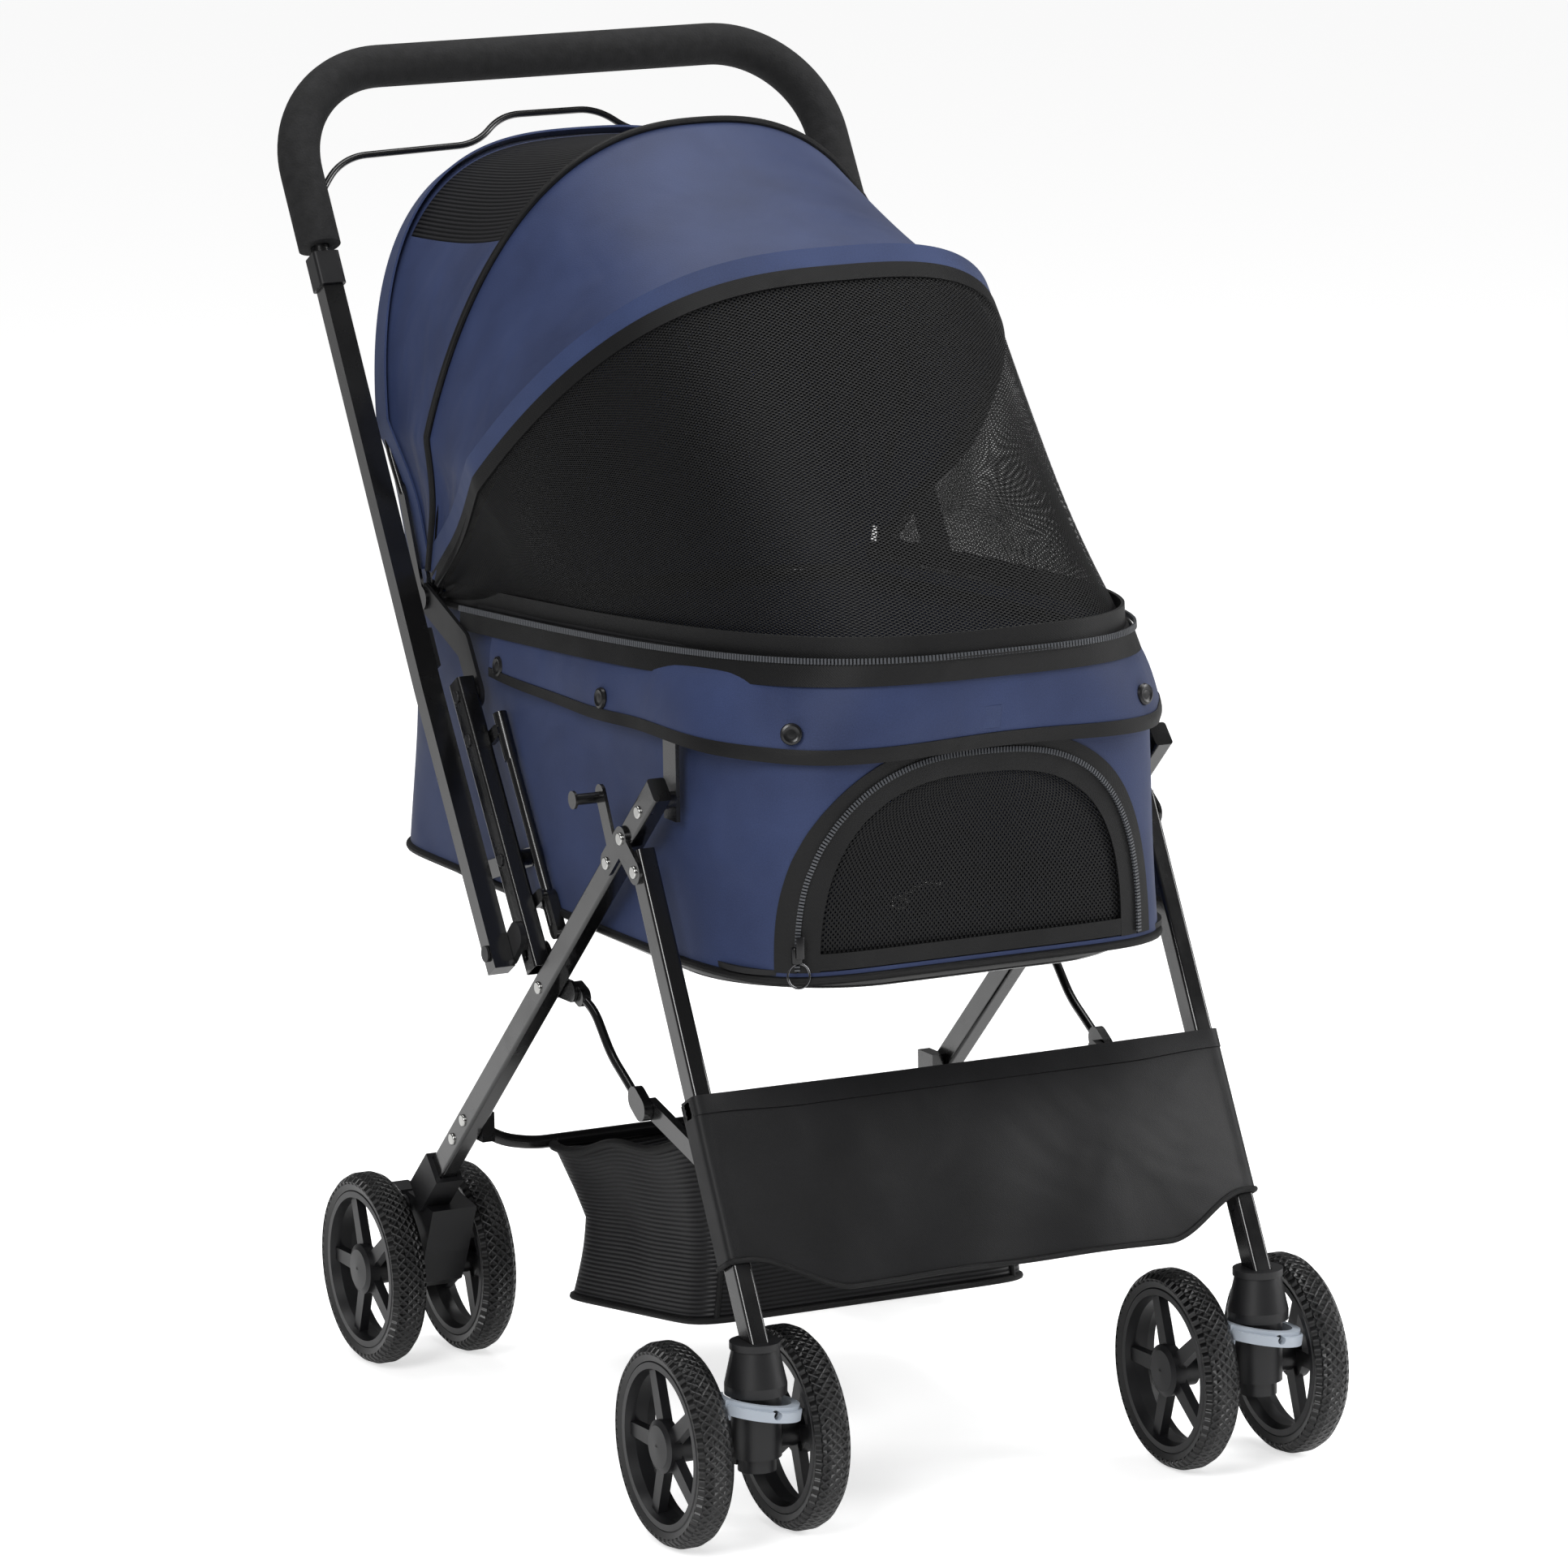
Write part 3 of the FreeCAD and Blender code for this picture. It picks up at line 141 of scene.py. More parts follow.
def netCloth(name, colour, pitch, hole, ribPitch=0.0, roughness=0.55):
    # warp-knitted polyester net: black yarn round open holes, ribs stand out where ribPitch is set, with
    # painted shade darkening the grooves between the ribs
    material, tree, surface, output = newMaterial(
        name, **{"Base Color": linear(colour), "Roughness": roughness, "IOR": 1.5,
                 "Specular IOR Level": 0.25})
    place = addNode(tree, "TexCoord")
    split = addNode(tree, "SeparateXYZ", {0: place.outputs["UV"]})
    across = wave(tree, split.outputs[0], pitch)
    down = wave(tree, split.outputs[1], pitch * 1.2)
    cell = addNode(tree, "Math", {0: across, 1: down}, operation="MULTIPLY")
    depth = cell.outputs[0]
    if ribPitch:
        depth = wave(tree, split.outputs[1], ribPitch)
        # painted shade: the rib wave darkens the colour to near black in the grooves
        tone = addNode(tree, "MapRange", {"Value": depth, "From Min": -1.0, "From Max": 1.0})
        shade = mixColours(tree, tone.outputs[0], linear("050506"), linear(colour))
        tree.links.new(shade, surface.inputs["Base Color"])
    bump = addNode(tree, "Bump", {"Height": depth, "Strength": 0.5, "Distance": 0.0008})
    tree.links.new(bump.outputs[0], surface.inputs["Normal"])
    if hole < 1:
        gap = addNode(tree, "Math", {0: cell.outputs[0], 1: hole}, operation="GREATER_THAN")
        clear = addNode(tree, "BsdfTransparent")
        mix = addNode(tree, "MixShader", {0: gap.outputs[0], 1: surface.outputs[0],
                                          2: clear.outputs[0]})
        tree.links.new(mix.outputs[0], output.inputs[0])
    return material


def mouldedPlastic(name, colour, roughness=0.42, grain=0.12):
    # moulded polypropylene: even colour, fine spark-eroded grain
    material, tree, surface, output = newMaterial(
        name, **{"Base Color": linear(colour), "Roughness": roughness, "IOR": 1.49})
    place = addNode(tree, "TexCoord")
    noise = addNode(tree, "TexNoise", {"Vector": place.outputs["Object"], "Scale": 1400.0, "Detail": 2.0})
    patch = addNode(tree, "TexNoise", {"Vector": place.outputs["Object"], "Scale": 40.0, "Detail": 2.0})
    rough = addNode(tree, "MapRange", {"Value": patch.outputs["Fac"], "To Min": roughness - 0.07,
                                       "To Max": roughness + 0.08})
    tree.links.new(rough.outputs[0], surface.inputs["Roughness"])
    bump = addNode(tree, "Bump", {"Height": noise.outputs["Fac"], "Strength": grain, "Distance": 0.0003})
    tree.links.new(bump.outputs[0], surface.inputs["Normal"])
    return material


def powderCoat():
    # gloss black stove enamel over steel tube: sharp highlights with a slight orange peel
    material, tree, surface, output = newMaterial(
        "blackEnamel", **{"Base Color": linear("0c0c0d"), "Roughness": 0.22, "IOR": 1.5,
                          "Coat Weight": 0.5, "Coat Roughness": 0.12})
    place = addNode(tree, "TexCoord")
    peel = addNode(tree, "TexNoise", {"Vector": place.outputs["Object"], "Scale": 260.0, "Detail": 2.0})
    scuff = addNode(tree, "TexNoise", {"Vector": place.outputs["Object"], "Scale": 24.0, "Detail": 5.0})
    rough = addNode(tree, "MapRange", {"Value": scuff.outputs["Fac"], "From Min": 0.35, "From Max": 0.7,
                                       "To Min": 0.17, "To Max": 0.33})
    tree.links.new(rough.outputs[0], surface.inputs["Roughness"])
    bump = addNode(tree, "Bump", {"Height": peel.outputs["Fac"], "Strength": 0.08, "Distance": 0.0004})
    tree.links.new(bump.outputs[0], surface.inputs["Normal"])
    return material


def nickelPlate(name, colour):
    # nickel plate on rivets and rings: soft mirror, faint turning marks
    material, tree, surface, output = newMaterial(
        name, **{"Base Color": linear(colour), "Metallic": 1.0, "Roughness": 0.2})
    place = addNode(tree, "TexCoord")
    noise = addNode(tree, "TexNoise", {"Vector": place.outputs["Object"], "Scale": 500.0, "Detail": 3.0})
    rough = addNode(tree, "MapRange", {"Value": noise.outputs["Fac"], "To Min": 0.12, "To Max": 0.32})
    tree.links.new(rough.outputs[0], surface.inputs["Roughness"])
    return material


def gripFoam():
    # EPDM foam sleeve: dead matt, fine open cells
    material, tree, surface, output = newMaterial(
        "gripFoam", **{"Base Color": linear("161616"), "Roughness": 0.88, "IOR": 1.45})
    place = addNode(tree, "TexCoord")
    cells = addNode(tree, "TexVoronoi", {"Vector": place.outputs["Object"], "Scale": 620.0})
    lumps = addNode(tree, "TexNoise", {"Vector": place.outputs["Object"], "Scale": 120.0, "Detail": 4.0})
    height = addNode(tree, "Math", {0: cells.outputs["Distance"], 1: lumps.outputs["Fac"]}, operation="ADD")
    tone = addNode(tree, "MapRange", {"Value": lumps.outputs["Fac"], "From Min": 0.3, "From Max": 0.7})
    colour = mixColours(tree, tone.outputs[0], linear("111112"), linear("1c1c1d"))
    tree.links.new(colour, surface.inputs["Base Color"])
    bump = addNode(tree, "Bump", {"Height": height.outputs[0], "Strength": 0.35, "Distance": 0.0006})
    tree.links.new(bump.outputs[0], surface.inputs["Normal"])
    return material


def tyreRubber(name, centre):
    # EVA foam tyre: diamond knurl round the tread, fine ribs on the shoulder; the tread colour follows the
    # relief, with painted shade in the grooves and painted light on the ridges
    material, tree, surface, output = newMaterial(
        name, **{"Base Color": linear("111112"), "Roughness": 0.34, "IOR": 1.5})
    place = addNode(tree, "TexCoord")
    local = addNode(tree, "VectorMath", {0: place.outputs["Object"], 1: centre}, operation="SUBTRACT")
    split = addNode(tree, "SeparateXYZ", {0: local.outputs[0]})
    angle = addNode(tree, "Math", {0: split.outputs[2], 1: split.outputs[1]}, operation="ARCTAN2")
    turns = addNode(tree, "Math", {0: angle.outputs[0], 1: 62.0}, operation="MULTIPLY")
    side = addNode(tree, "Math", {0: split.outputs[0], 1: 860.0}, operation="MULTIPLY")
    one = addNode(tree, "Math", {0: turns.outputs[0], 1: side.outputs[0]}, operation="ADD")
    two = addNode(tree, "Math", {0: turns.outputs[0], 1: side.outputs[0]}, operation="SUBTRACT")
    sineOne = addNode(tree, "Math", {0: one.outputs[0]}, operation="SINE")
    sineTwo = addNode(tree, "Math", {0: two.outputs[0]}, operation="SINE")
    knurl = addNode(tree, "Math", {0: sineOne.outputs[0], 1: sineTwo.outputs[0]}, operation="MAXIMUM")
    away = addNode(tree, "Math", {0: split.outputs[0]}, operation="ABSOLUTE")
    edge = addNode(tree, "MapRange", {"Value": away.outputs[0], "From Min": 0.0098, "From Max": 0.0104})
    ribs = addNode(tree, "Math", {0: turns.outputs[0], 1: 1.0}, operation="MULTIPLY")
    ribSine = addNode(tree, "Math", {0: ribs.outputs[0]}, operation="SINE")
    height = addNode(tree, "Mix", {0: edge.outputs[0], 2: knurl.outputs[0], 3: ribSine.outputs[0]})
    radius = addNode(tree, "VectorMath", {0: addNode(tree, "CombineXYZ", {
        1: split.outputs[1], 2: split.outputs[2]}).outputs[0]}, operation="LENGTH")
    outer = addNode(tree, "MapRange", {"Value": radius.outputs["Value"], "From Min": 0.0645,
                                       "From Max": 0.0655})
    relief = addNode(tree, "Math", {0: height.outputs[0], 1: outer.outputs[0]}, operation="MULTIPLY")
    bump = addNode(tree, "Bump", {"Height": relief.outputs[0], "Strength": 1.0, "Distance": 0.0014})
    tree.links.new(bump.outputs[0], surface.inputs["Normal"])
    # painted shade and light: colour from the relief, near black in the knurl and rib grooves and lighter on
    # the ridges
    tone = addNode(tree, "MapRange", {"Value": relief.outputs[0], "From Min": -1.0})
    colour = mixColours(tree, tone.outputs[0], linear("050505"), linear("1a1a1b"))
    tree.links.new(colour, surface.inputs["Base Color"])
    return material


finishes = {name: oxfordCloth(name) for name in clothValues}
finishes["windowNet"] = netCloth("windowNet", "0b0b0c", 0.0034, 0.2)
finishes["doorNet"] = netCloth("doorNet", "0b0b0c", 0.0034, 0.35)
finishes["ribNet"] = netCloth("ribNet", "222224", 0.0022, 1.0, ribPitch=0.0036, roughness=0.45)
finishes["enamel"] = powderCoat()
finishes["nickel"] = nickelPlate("nickelPlate", "c9c9c6")
finishes["foam"] = gripFoam()
finishes["plastic"] = mouldedPlastic("blackPolypropylene", "131315")
finishes["gloss"] = mouldedPlastic("glossAbs", "0f0f11", 0.28, 0.05)
finishes["rimPlastic"] = mouldedPlastic("rimPolypropylene", "151517", 0.36, 0.1)
finishes["lockPlastic"] = mouldedPlastic("greyPom", "a6aeb8", 0.4, 0.06)
finishes["darkMetal"] = nickelPlate("gunmetalPlate", "6a6a6c")
finishes["zipCoil"] = mouldedPlastic("zipCoilNylon", "4a4c50", 0.3, 0.05)
finishes["board"] = mouldedPlastic("blackBoard", "101012", 0.7, 0.2)
print("materials made:", len(finishes))


# ---- modelling helpers
def deselect():
    if bpy.context.object and bpy.context.object.mode != "OBJECT":
        bpy.ops.object.mode_set(mode="OBJECT")
    bpy.ops.object.select_all(action="DESELECT")


def pick(piece):
    deselect()
    piece.select_set(True)
    bpy.context.view_layer.objects.active = piece


def named(name, finish):
    piece = bpy.context.object
    piece.name = name
    piece.data.name = name
    piece.data.materials.clear()
    piece.data.materials.append(finishes[finish])
    return piece


def settle(piece, angle=35):
    # place into the mesh, smooth by angle
    pick(piece)
    bpy.ops.object.transform_apply(location=True, rotation=True, scale=True)
    bpy.ops.object.shade_smooth_by_angle(angle=math.radians(angle))
    return piece


def mendNormals(piece):
    pick(piece)
    bpy.ops.object.mode_set(mode="EDIT")
    bpy.ops.mesh.select_all(action="SELECT")
    bpy.ops.mesh.remove_doubles(threshold=0.00004)
    bpy.ops.mesh.normals_make_consistent(inside=False)
    bpy.ops.object.mode_set(mode="OBJECT")


def applyAll(piece):
    pick(piece)
    for modifier in list(piece.modifiers):
        bpy.ops.object.modifier_apply(modifier=modifier.name)


def flatArea(piece):
    return sum(face.area for face in piece.data.polygons)


def shapedSheet(name, finish, place, columns, rows, size, thickness=0.0016,
                faceFinish=None, outside=None):
    # place(u, v) gives the surface; the UV map is in metres
    deselect()
    bpy.ops.mesh.primitive_grid_add(x_subdivisions=columns, y_subdivisions=rows, size=2,
                                    calc_uvs=True)
    piece = named(name, finish)
    mesh = piece.data
    for vertex in mesh.vertices:
        u, v = (vertex.co.x + 1) / 2, (vertex.co.y + 1) / 2
        vertex.co = place(u, v)
    for loop in mesh.uv_layers.active.data:
        loop.uv = (loop.uv[0] * size[0], loop.uv[1] * size[1])
    if faceFinish:
        for extra in faceFinish[1:]:
            mesh.materials.append(finishes[extra])
        choose = faceFinish[0]
        for face in mesh.polygons:
            uv = Vector((0.0, 0.0))
            for index in face.loop_indices:
                uv += mesh.uv_layers.active.data[index].uv / len(face.loop_indices)
            face.material_index = choose(uv.x / size[0], uv.y / size[1])
    mendNormals(piece)
    if outside is not None:
        middle = mesh.polygons[len(mesh.polygons) // 2]
        if middle.normal.dot(outside) < 0:
            pick(piece)
            bpy.ops.object.mode_set(mode="EDIT")
            bpy.ops.mesh.select_all(action="SELECT")
            bpy.ops.mesh.flip_normals()
            bpy.ops.object.mode_set(mode="OBJECT")
    piece["cut"] = flatArea(piece)
    if thickness:
        solid = piece.modifiers.new("wall", "SOLIDIFY")
        solid.thickness = thickness
        solid.offset = -1.0
        applyAll(piece)
    return settle(piece, 60)


def declareSheet(piece, size):
    area = min(piece["cut"], size[0] * size[1])


def piping(name, finish, points, radius, closed=False, sides=2):
    curve = bpy.data.curves.new(name, "CURVE")
    curve.dimensions = "3D"
    curve.bevel_depth = radius
    curve.bevel_resolution = sides
    curve.use_fill_caps = True
    run = curve.splines.new("POLY")
    run.points.add(len(points) - 1)
    for knot, point in zip(run.points, points):
        knot.co = (*point, 1.0)
    run.use_cyclic_u = closed
    holder = bpy.data.objects.new(name, curve)
    bpy.context.scene.collection.objects.link(holder)
    pick(holder)
    bpy.ops.object.convert(target="MESH")
    piece = named(name, finish)
    return settle(piece, 60)


def lathe(name, finish, profile, centre, axis=(1, 0, 0), steps=40):
    # the profile is (distance along the axis, radius)
    deselect()
    mesh = bpy.data.meshes.new(name)
    mesh.from_pydata([(a, 0.0, r) for a, r in profile], [(i, i + 1) for i in range(len(profile) - 1)], [])
    piece = bpy.data.objects.new(name, mesh)
    bpy.context.scene.collection.objects.link(piece)
    pick(piece)
    named(name, finish)
    bpy.ops.object.mode_set(mode="EDIT")
    bpy.ops.mesh.select_all(action="SELECT")
    bpy.ops.mesh.spin(steps=steps, angle=2 * math.pi, center=(0, 0, 0), axis=(1, 0, 0), dupli=False)
    bpy.ops.mesh.select_all(action="SELECT")
    bpy.ops.mesh.remove_doubles(threshold=0.00003)
    bpy.ops.mesh.normals_make_consistent(inside=False)
    bpy.ops.object.mode_set(mode="OBJECT")
    turn = Vector((1, 0, 0)).rotation_difference(Vector(axis)).to_matrix().to_4x4()
    piece.data.transform(Matrix.Translation(centre) @ turn)
    return settle(piece, 35)


def joined(name, pieces):
    deselect()
    for piece in pieces:
        piece.select_set(True)
    bpy.context.view_layer.objects.active = pieces[0]
    if len(pieces) > 1:
        bpy.ops.object.join()
    whole = bpy.context.object
    whole.name = name
    whole.data.name = name
    return whole


def evenly(points, count, closed=False):
    # the same line with points a constant distance apart
    line = list(points) + ([points[0]] if closed else [])
    reach = [0.0]
    for here, there in zip(line, line[1:]):
        reach.append(reach[-1] + (there - here).length)
    steps = count if closed else count - 1
    out, index = [], 0
    for step in range(count):
        goal = reach[-1] * step / steps
        while index < len(reach) - 2 and reach[index + 1] < goal:
            index += 1
        span = reach[index + 1] - reach[index]
        out.append(line[index].lerp(line[index + 1], (goal - reach[index]) / span if span else 0.0))
    return out


def along(points, u, closed=False):
    count = len(points)
    spot = u * (count if closed else count - 1)
    index = min(int(spot), count - 1 if closed else count - 2)
    return points[index % count].lerp(points[(index + 1) % count], spot - index)


# ---- carriage: outline rings from the floor to the rim
carriageValues = dict(
    middleY=0.1915, floorZ=0.388, floorHalf=0.182, floorFront=0.5105, floorRear=0.1165, floorRound=7.4,
    midHalf=0.1812, midFront=0.5265, midRear=0.099, midRound=5.4, midShare=0.72,
    rimHalf=0.1785, rimFront=0.5385, rimRear=0.083, rimRound=3.4, rearRound=4.2, rimZ=0.584,
    rimSlope=0.0523, steps=180)


def carriageRing(half, front, rear, frontRound, rearRound, steps):
    v = carriageValues
    dense = []
    for step in range(1600):
        turn = 2 * math.pi * step / 1600 + math.pi / 2
        c, s = math.cos(turn), math.sin(turn)
        power = frontRound if s < 0 else rearRound
        depth = front if s < 0 else rear
        x = half * math.copysign(abs(c) ** (2 / power), c)
        y = v["middleY"] + depth * math.copysign(abs(s) ** (2 / power), s)
        dense.append(Vector((x, y, 0)))
    return evenly(dense, steps, closed=True)


def rimHeight(y):
    return carriageValues["rimZ"] + (carriageValues["middleY"] - y) * carriageValues["rimSlope"]


cv = carriageValues
floorRing = carriageRing(cv["floorHalf"], cv["floorFront"], cv["floorRear"], cv["floorRound"],
                         cv["rearRound"], cv["steps"])
midRing = carriageRing(cv["midHalf"], cv["midFront"], cv["midRear"], cv["midRound"],
                       cv["rearRound"], cv["steps"])
rimRing = carriageRing(cv["rimHalf"], cv["rimFront"], cv["rimRear"], cv["rimRound"],
                       cv["rearRound"], cv["steps"])


def wallFlat(u, share):
    knee = cv["midShare"]
    if share < knee:
        return along(floorRing, u, True).lerp(along(midRing, u, True), share / knee)
    return along(midRing, u, True).lerp(along(rimRing, u, True), (share - knee) / (1 - knee))


def wallPoint(u, share, grow=0.0, lift=0.0):
    # u runs round from the back, share from the floor to the rim
    flat, ahead = wallFlat(u, share), wallFlat((u + 0.002) % 1, share)
    out = (ahead - flat).cross(Vector((0, 0, 1))).normalized()
    if out.dot(flat) < 0:
        out = -out
    flat = flat + out * grow
    z = cv["floorZ"] + share * (rimHeight(flat.y) - cv["floorZ"]) + lift
    return Vector((flat.x, flat.y, z))


def wallFolds(u, share):
    # soft hollows between the floor and the rim, deepest half way up
    lean = math.sin(math.pi * share)
    course = u * 2 * math.pi
    slow = math.sin(course * 5 + 0.7) * 0.6 + math.sin(course * 11 + 2.1 + share * 2) * 0.4
    drag = math.sin(course * 23 + share * 5.0) * 0.3
    return lean * (slow * 0.0028 + drag * 0.0012) - 0.0018 * lean


clothWallSize = (1.75, 0.23)


def wallPlace(u, v):
    return wallPoint(u, v, wallFolds(u, v))


wallCloth = shapedSheet("carriageWall", "navyOxford", wallPlace, 240, 26, clothWallSize, 0.0018)


def frontSpot(x, z, grow=0.0):
    # the place on the front wall at this x and height
    share = (z - cv["floorZ"]) / 0.222
    for turn in range(2):
        low, high = 0.3, 0.7
        for halving in range(18):
            middle = (low + high) / 2
            if wallPoint(middle, share).x < x:
                low = middle
            else:
                high = middle
        spot = wallPoint(low, share)
        share = (z - cv["floorZ"]) / (rimHeight(spot.y) - cv["floorZ"])
    return wallPoint(low, share, grow + wallFolds(low, share))


# ---- front door: arched net panel with a zip round it
doorValues = dict(centre=-0.006, half=0.134, bottom=0.3935, top=0.541, power=2.6, tape=0.024, coil=0.0016)
dv = doorValues


def doorArch(u, grow=0.0):
    # u runs from the left foot over the top to the right foot
    turn = math.pi * (1 - u)
    c, s = math.cos(turn), math.sin(turn)
    half, rise = dv["half"] + grow, dv["top"] - dv["bottom"] + grow
    x = half * math.copysign(abs(c) ** (2 / dv["power"]), c)
    z = rise * abs(s) ** (2 / dv["power"])
    return Vector((dv["centre"] + x, dv["bottom"] + z))


archLine = evenly([Vector((*doorArch(i / 400), 0.0)) for i in range(401)], 121)


def archFrame(u):
    here = along(archLine, u)
    run = along(archLine, min(u + 0.01, 1)) - along(archLine, max(u - 0.01, 0))
    out = Vector((-run.y, run.x, 0)).normalized()
    return here, out


def cutDoor(wall):
    # an arched cutter pushed through the front wall
    deselect()
    bpy.ops.mesh.primitive_grid_add(x_subdivisions=60, y_subdivisions=1, size=2)
    cutter = bpy.context.object
    for vertex in cutter.data.vertices:
        u, v = (vertex.co.x + 1) / 2, (vertex.co.y + 1) / 2
        here = along(archLine, u)
        base = dv["bottom"]
        vertex.co = Vector((here.x, -0.29, base + (here.y - base) * (1 - v) if v < 1 else base))
    pick(cutter)
    bpy.ops.object.mode_set(mode="EDIT")
    bpy.ops.mesh.select_all(action="SELECT")
    bpy.ops.mesh.remove_doubles(threshold=0.0001)
    bpy.ops.mesh.extrude_region_move(TRANSFORM_OT_translate={"value": (0, -0.12, 0)})
    bpy.ops.mesh.select_all(action="SELECT")
    bpy.ops.mesh.normals_make_consistent(inside=False)
    bpy.ops.object.mode_set(mode="OBJECT")
    cut = wall.modifiers.new("door", "BOOLEAN")
    cut.operation = "DIFFERENCE"
    cut.object = cutter
    cut.solver = "EXACT"
    applyAll(wall)
    bpy.data.objects.remove(cutter)
    return settle(wall, 60)


cutDoor(wallCloth)
wallCloth["cut"] = 0.36
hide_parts("carriage_body")
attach(wallCloth, "rear_frame")


def doorNetPlace(u, v):
    rise = dv["top"] - dv["bottom"] - 0.004
    z = dv["bottom"] + 0.001 + rise * v
    half = (dv["half"] - 0.003) * max(0.0, 1 - min(v, 0.9995) ** dv["power"]) ** (1 / dv["power"])
    x = dv["centre"] + half * (2 * u - 1)
    return frontSpot(x, z, -0.0022)


doorNet = shapedSheet("doorNet", "doorNet", doorNetPlace, 36, 26, (0.26, 0.146), 0.0006)
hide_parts("front_door")
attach(doorNet, "front_door")


def tapePlace(width, offset, grow):
    def place(u, v):
        here, out = archFrame(u)
        spot = here + out * (width * (v - 0.5) + offset)
        return frontSpot(spot.x, max(spot.y, dv["bottom"] - 0.001), grow)
    return place


# half of the zip tape stays on the wall, half goes with the door
wallTape = shapedSheet("doorTapeOuter", "blackBinding", tapePlace(0.012, 0.0055, 0.0009), 120, 2,
                       (0.47, 0.012), 0.0012)
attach(wallTape, "rear_frame")
doorTape = shapedSheet("doorTapeInner", "blackBinding", tapePlace(0.014, -0.0085, 0.0006), 120, 2,
                       (0.44, 0.014), 0.0012)


def sillPlace(u, v):
    x = dv["centre"] + (dv["half"] - 0.006) * (2 * u - 1)
    return frontSpot(x, dv["bottom"] + 0.001 + 0.012 * v, 0.0006)


sillTape = shapedSheet("doorSill", "blackBinding", sillPlace, 40, 2, (0.25, 0.012), 0.0012)
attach(doorTape, "front_door")
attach(sillTape, "front_door")


def zipCoil(name, line, pitch, radius, outward):
    # a nylon zip: short teeth set across the line, one small block copied along it
    length = sum((line[i + 1] - line[i]).length for i in range(len(line) - 1))
    count = int(length / pitch)
    spots = evenly(line, count)
    deselect()
    bpy.ops.mesh.primitive_cube_add(size=1)
    tooth = bpy.context.object
    tooth.data.transform(Matrix.Diagonal((pitch * 0.55, radius * 2.4, radius * 1.1, 1)))
    base = tooth.data
    whole = bmesh.new()
    for index in range(1, count - 1):
        run = (spots[index + 1] - spots[index - 1]).normalized()
        up = outward(spots[index])
        up = (up - run * up.dot(run)).normalized()
        side = up.cross(run)
        turn = Matrix((run, side, up)).transposed().to_4x4()
        part = bmesh.new()
        part.from_mesh(base)
        part.transform(Matrix.Translation(spots[index]) @ turn)
        holder = bpy.data.meshes.new("part")
        part.to_mesh(holder)
        part.free()
        whole.from_mesh(holder)
        bpy.data.meshes.remove(holder)
    whole.to_mesh(base)
    whole.free()
    piece = named(name, "zipCoil")
    return settle(piece, 20)


def frontOut(spot):
    return Vector((spot.x * 0.8, -0.25, 0.02)).normalized()


archCoilLine = []
for i in range(161):
    here, out = archFrame(i / 160)
    archCoilLine.append(frontSpot(here.x - out.x * 0.0008, max(here.y, dv["bottom"]), 0.0022))
doorCoil = zipCoil("doorZip", archCoilLine, 0.0024, dv["coil"], frontOut)
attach(doorCoil, "rear_frame")

# zip slider with its ring at the lower left foot of the arch
footLine = frontSpot(archLine[4].x, archLine[4].y, 0.004)
deselect()
bpy.ops.mesh.primitive_cube_add(size=1, location=footLine + Vector((0, -0.0015, -0.002)))
bpy.context.object.scale = (0.0075, 0.005, 0.013)
bpy.ops.object.transform_apply(scale=True)
bpy.ops.object.mode_set(mode="EDIT")
bpy.ops.mesh.bevel(offset=0.0018, segments=3)
bpy.ops.object.mode_set(mode="OBJECT")
slider = settle(named("doorSlider", "gloss"))
deselect()
bpy.ops.mesh.primitive_cube_add(size=1, location=footLine + Vector((0.0005, -0.006, 0.004)))
bpy.context.object.scale = (0.006, 0.0022, 0.016)
bpy.ops.object.transform_apply(scale=True)
bpy.ops.object.mode_set(mode="EDIT")
bpy.ops.mesh.bevel(offset=0.001, segments=2)
bpy.ops.object.mode_set(mode="OBJECT")
puller = settle(named("doorPuller", "gloss"))
deselect()
bpy.ops.mesh.primitive_torus_add(major_radius=0.0085, minor_radius=0.0008, major_segments=40,
                                 minor_segments=10, location=footLine + Vector((0, -0.004, -0.016)),
                                 rotation=(math.radians(80), 0, 0))
bpy.context.object.scale = (1.0, 1.0, 0.72)
pullRing = settle(named("doorRing", "darkMetal"))
for item in (slider, puller, pullRing):
    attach(item, "rear_frame")

# the tether's clip hangs inside, behind the net
clipSpots = [Vector((-0.052 + 0.034 * t, -0.296, 0.4335 + 0.007 * math.sin(t * 2.6) + 0.004 * t))
             for t in [i / 16 for i in range(17)]]
tetherClip = joined("tetherClip", [
    piping("clip", "nickel", clipSpots, 0.0013),
    piping("clip", "nickel", [Vector((-0.052 + 0.006 * math.cos(i / 20 * 2 * math.pi), -0.296,
                                      0.4315 + 0.004 * math.sin(i / 20 * 2 * math.pi))) for i in range(20)],
           0.0011, closed=True)])
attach(tetherClip, "rear_frame")
print("front door made")

# ---- carriage floor, its piping and the padded mat
floorLine = [wallPoint(i / 180, 0.0) for i in range(180)]
floorPiping = piping("floorPiping", "blackBinding", [p + Vector((0, 0, -0.0005)) for p in floorLine],
                     0.0032, closed=True)
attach(floorPiping, "rear_frame")


def floorPlace(u, v):
    front = cv["middleY"] - cv["floorFront"]
    rear = cv["middleY"] + cv["floorRear"]
    y = front + (rear - front) * v
    ahead = y < cv["middleY"]
    depth = cv["floorFront"] if ahead else cv["floorRear"]
    power = cv["floorRound"] if ahead else cv["rearRound"]
    share = min(1.0, abs(y - cv["middleY"]) / depth)
    wide = cv["floorHalf"] * (1 - share ** power) ** (1 / power)
    return Vector((wide * (2 * u - 1), y, cv["floorZ"] + 0.0006))


floorCloth = shapedSheet("carriageFloor", "blackOxford", floorPlace, 20, 90, (0.36, 0.62), 0.002)
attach(floorCloth, "rear_frame")

# ---- apron: the flap that folds down over the rim, with its binding and snaps
apronValues = dict(endY=0.082, lowZ=0.5465, grow=0.0062, binding=0.011, topShare=0.985)
av = apronValues


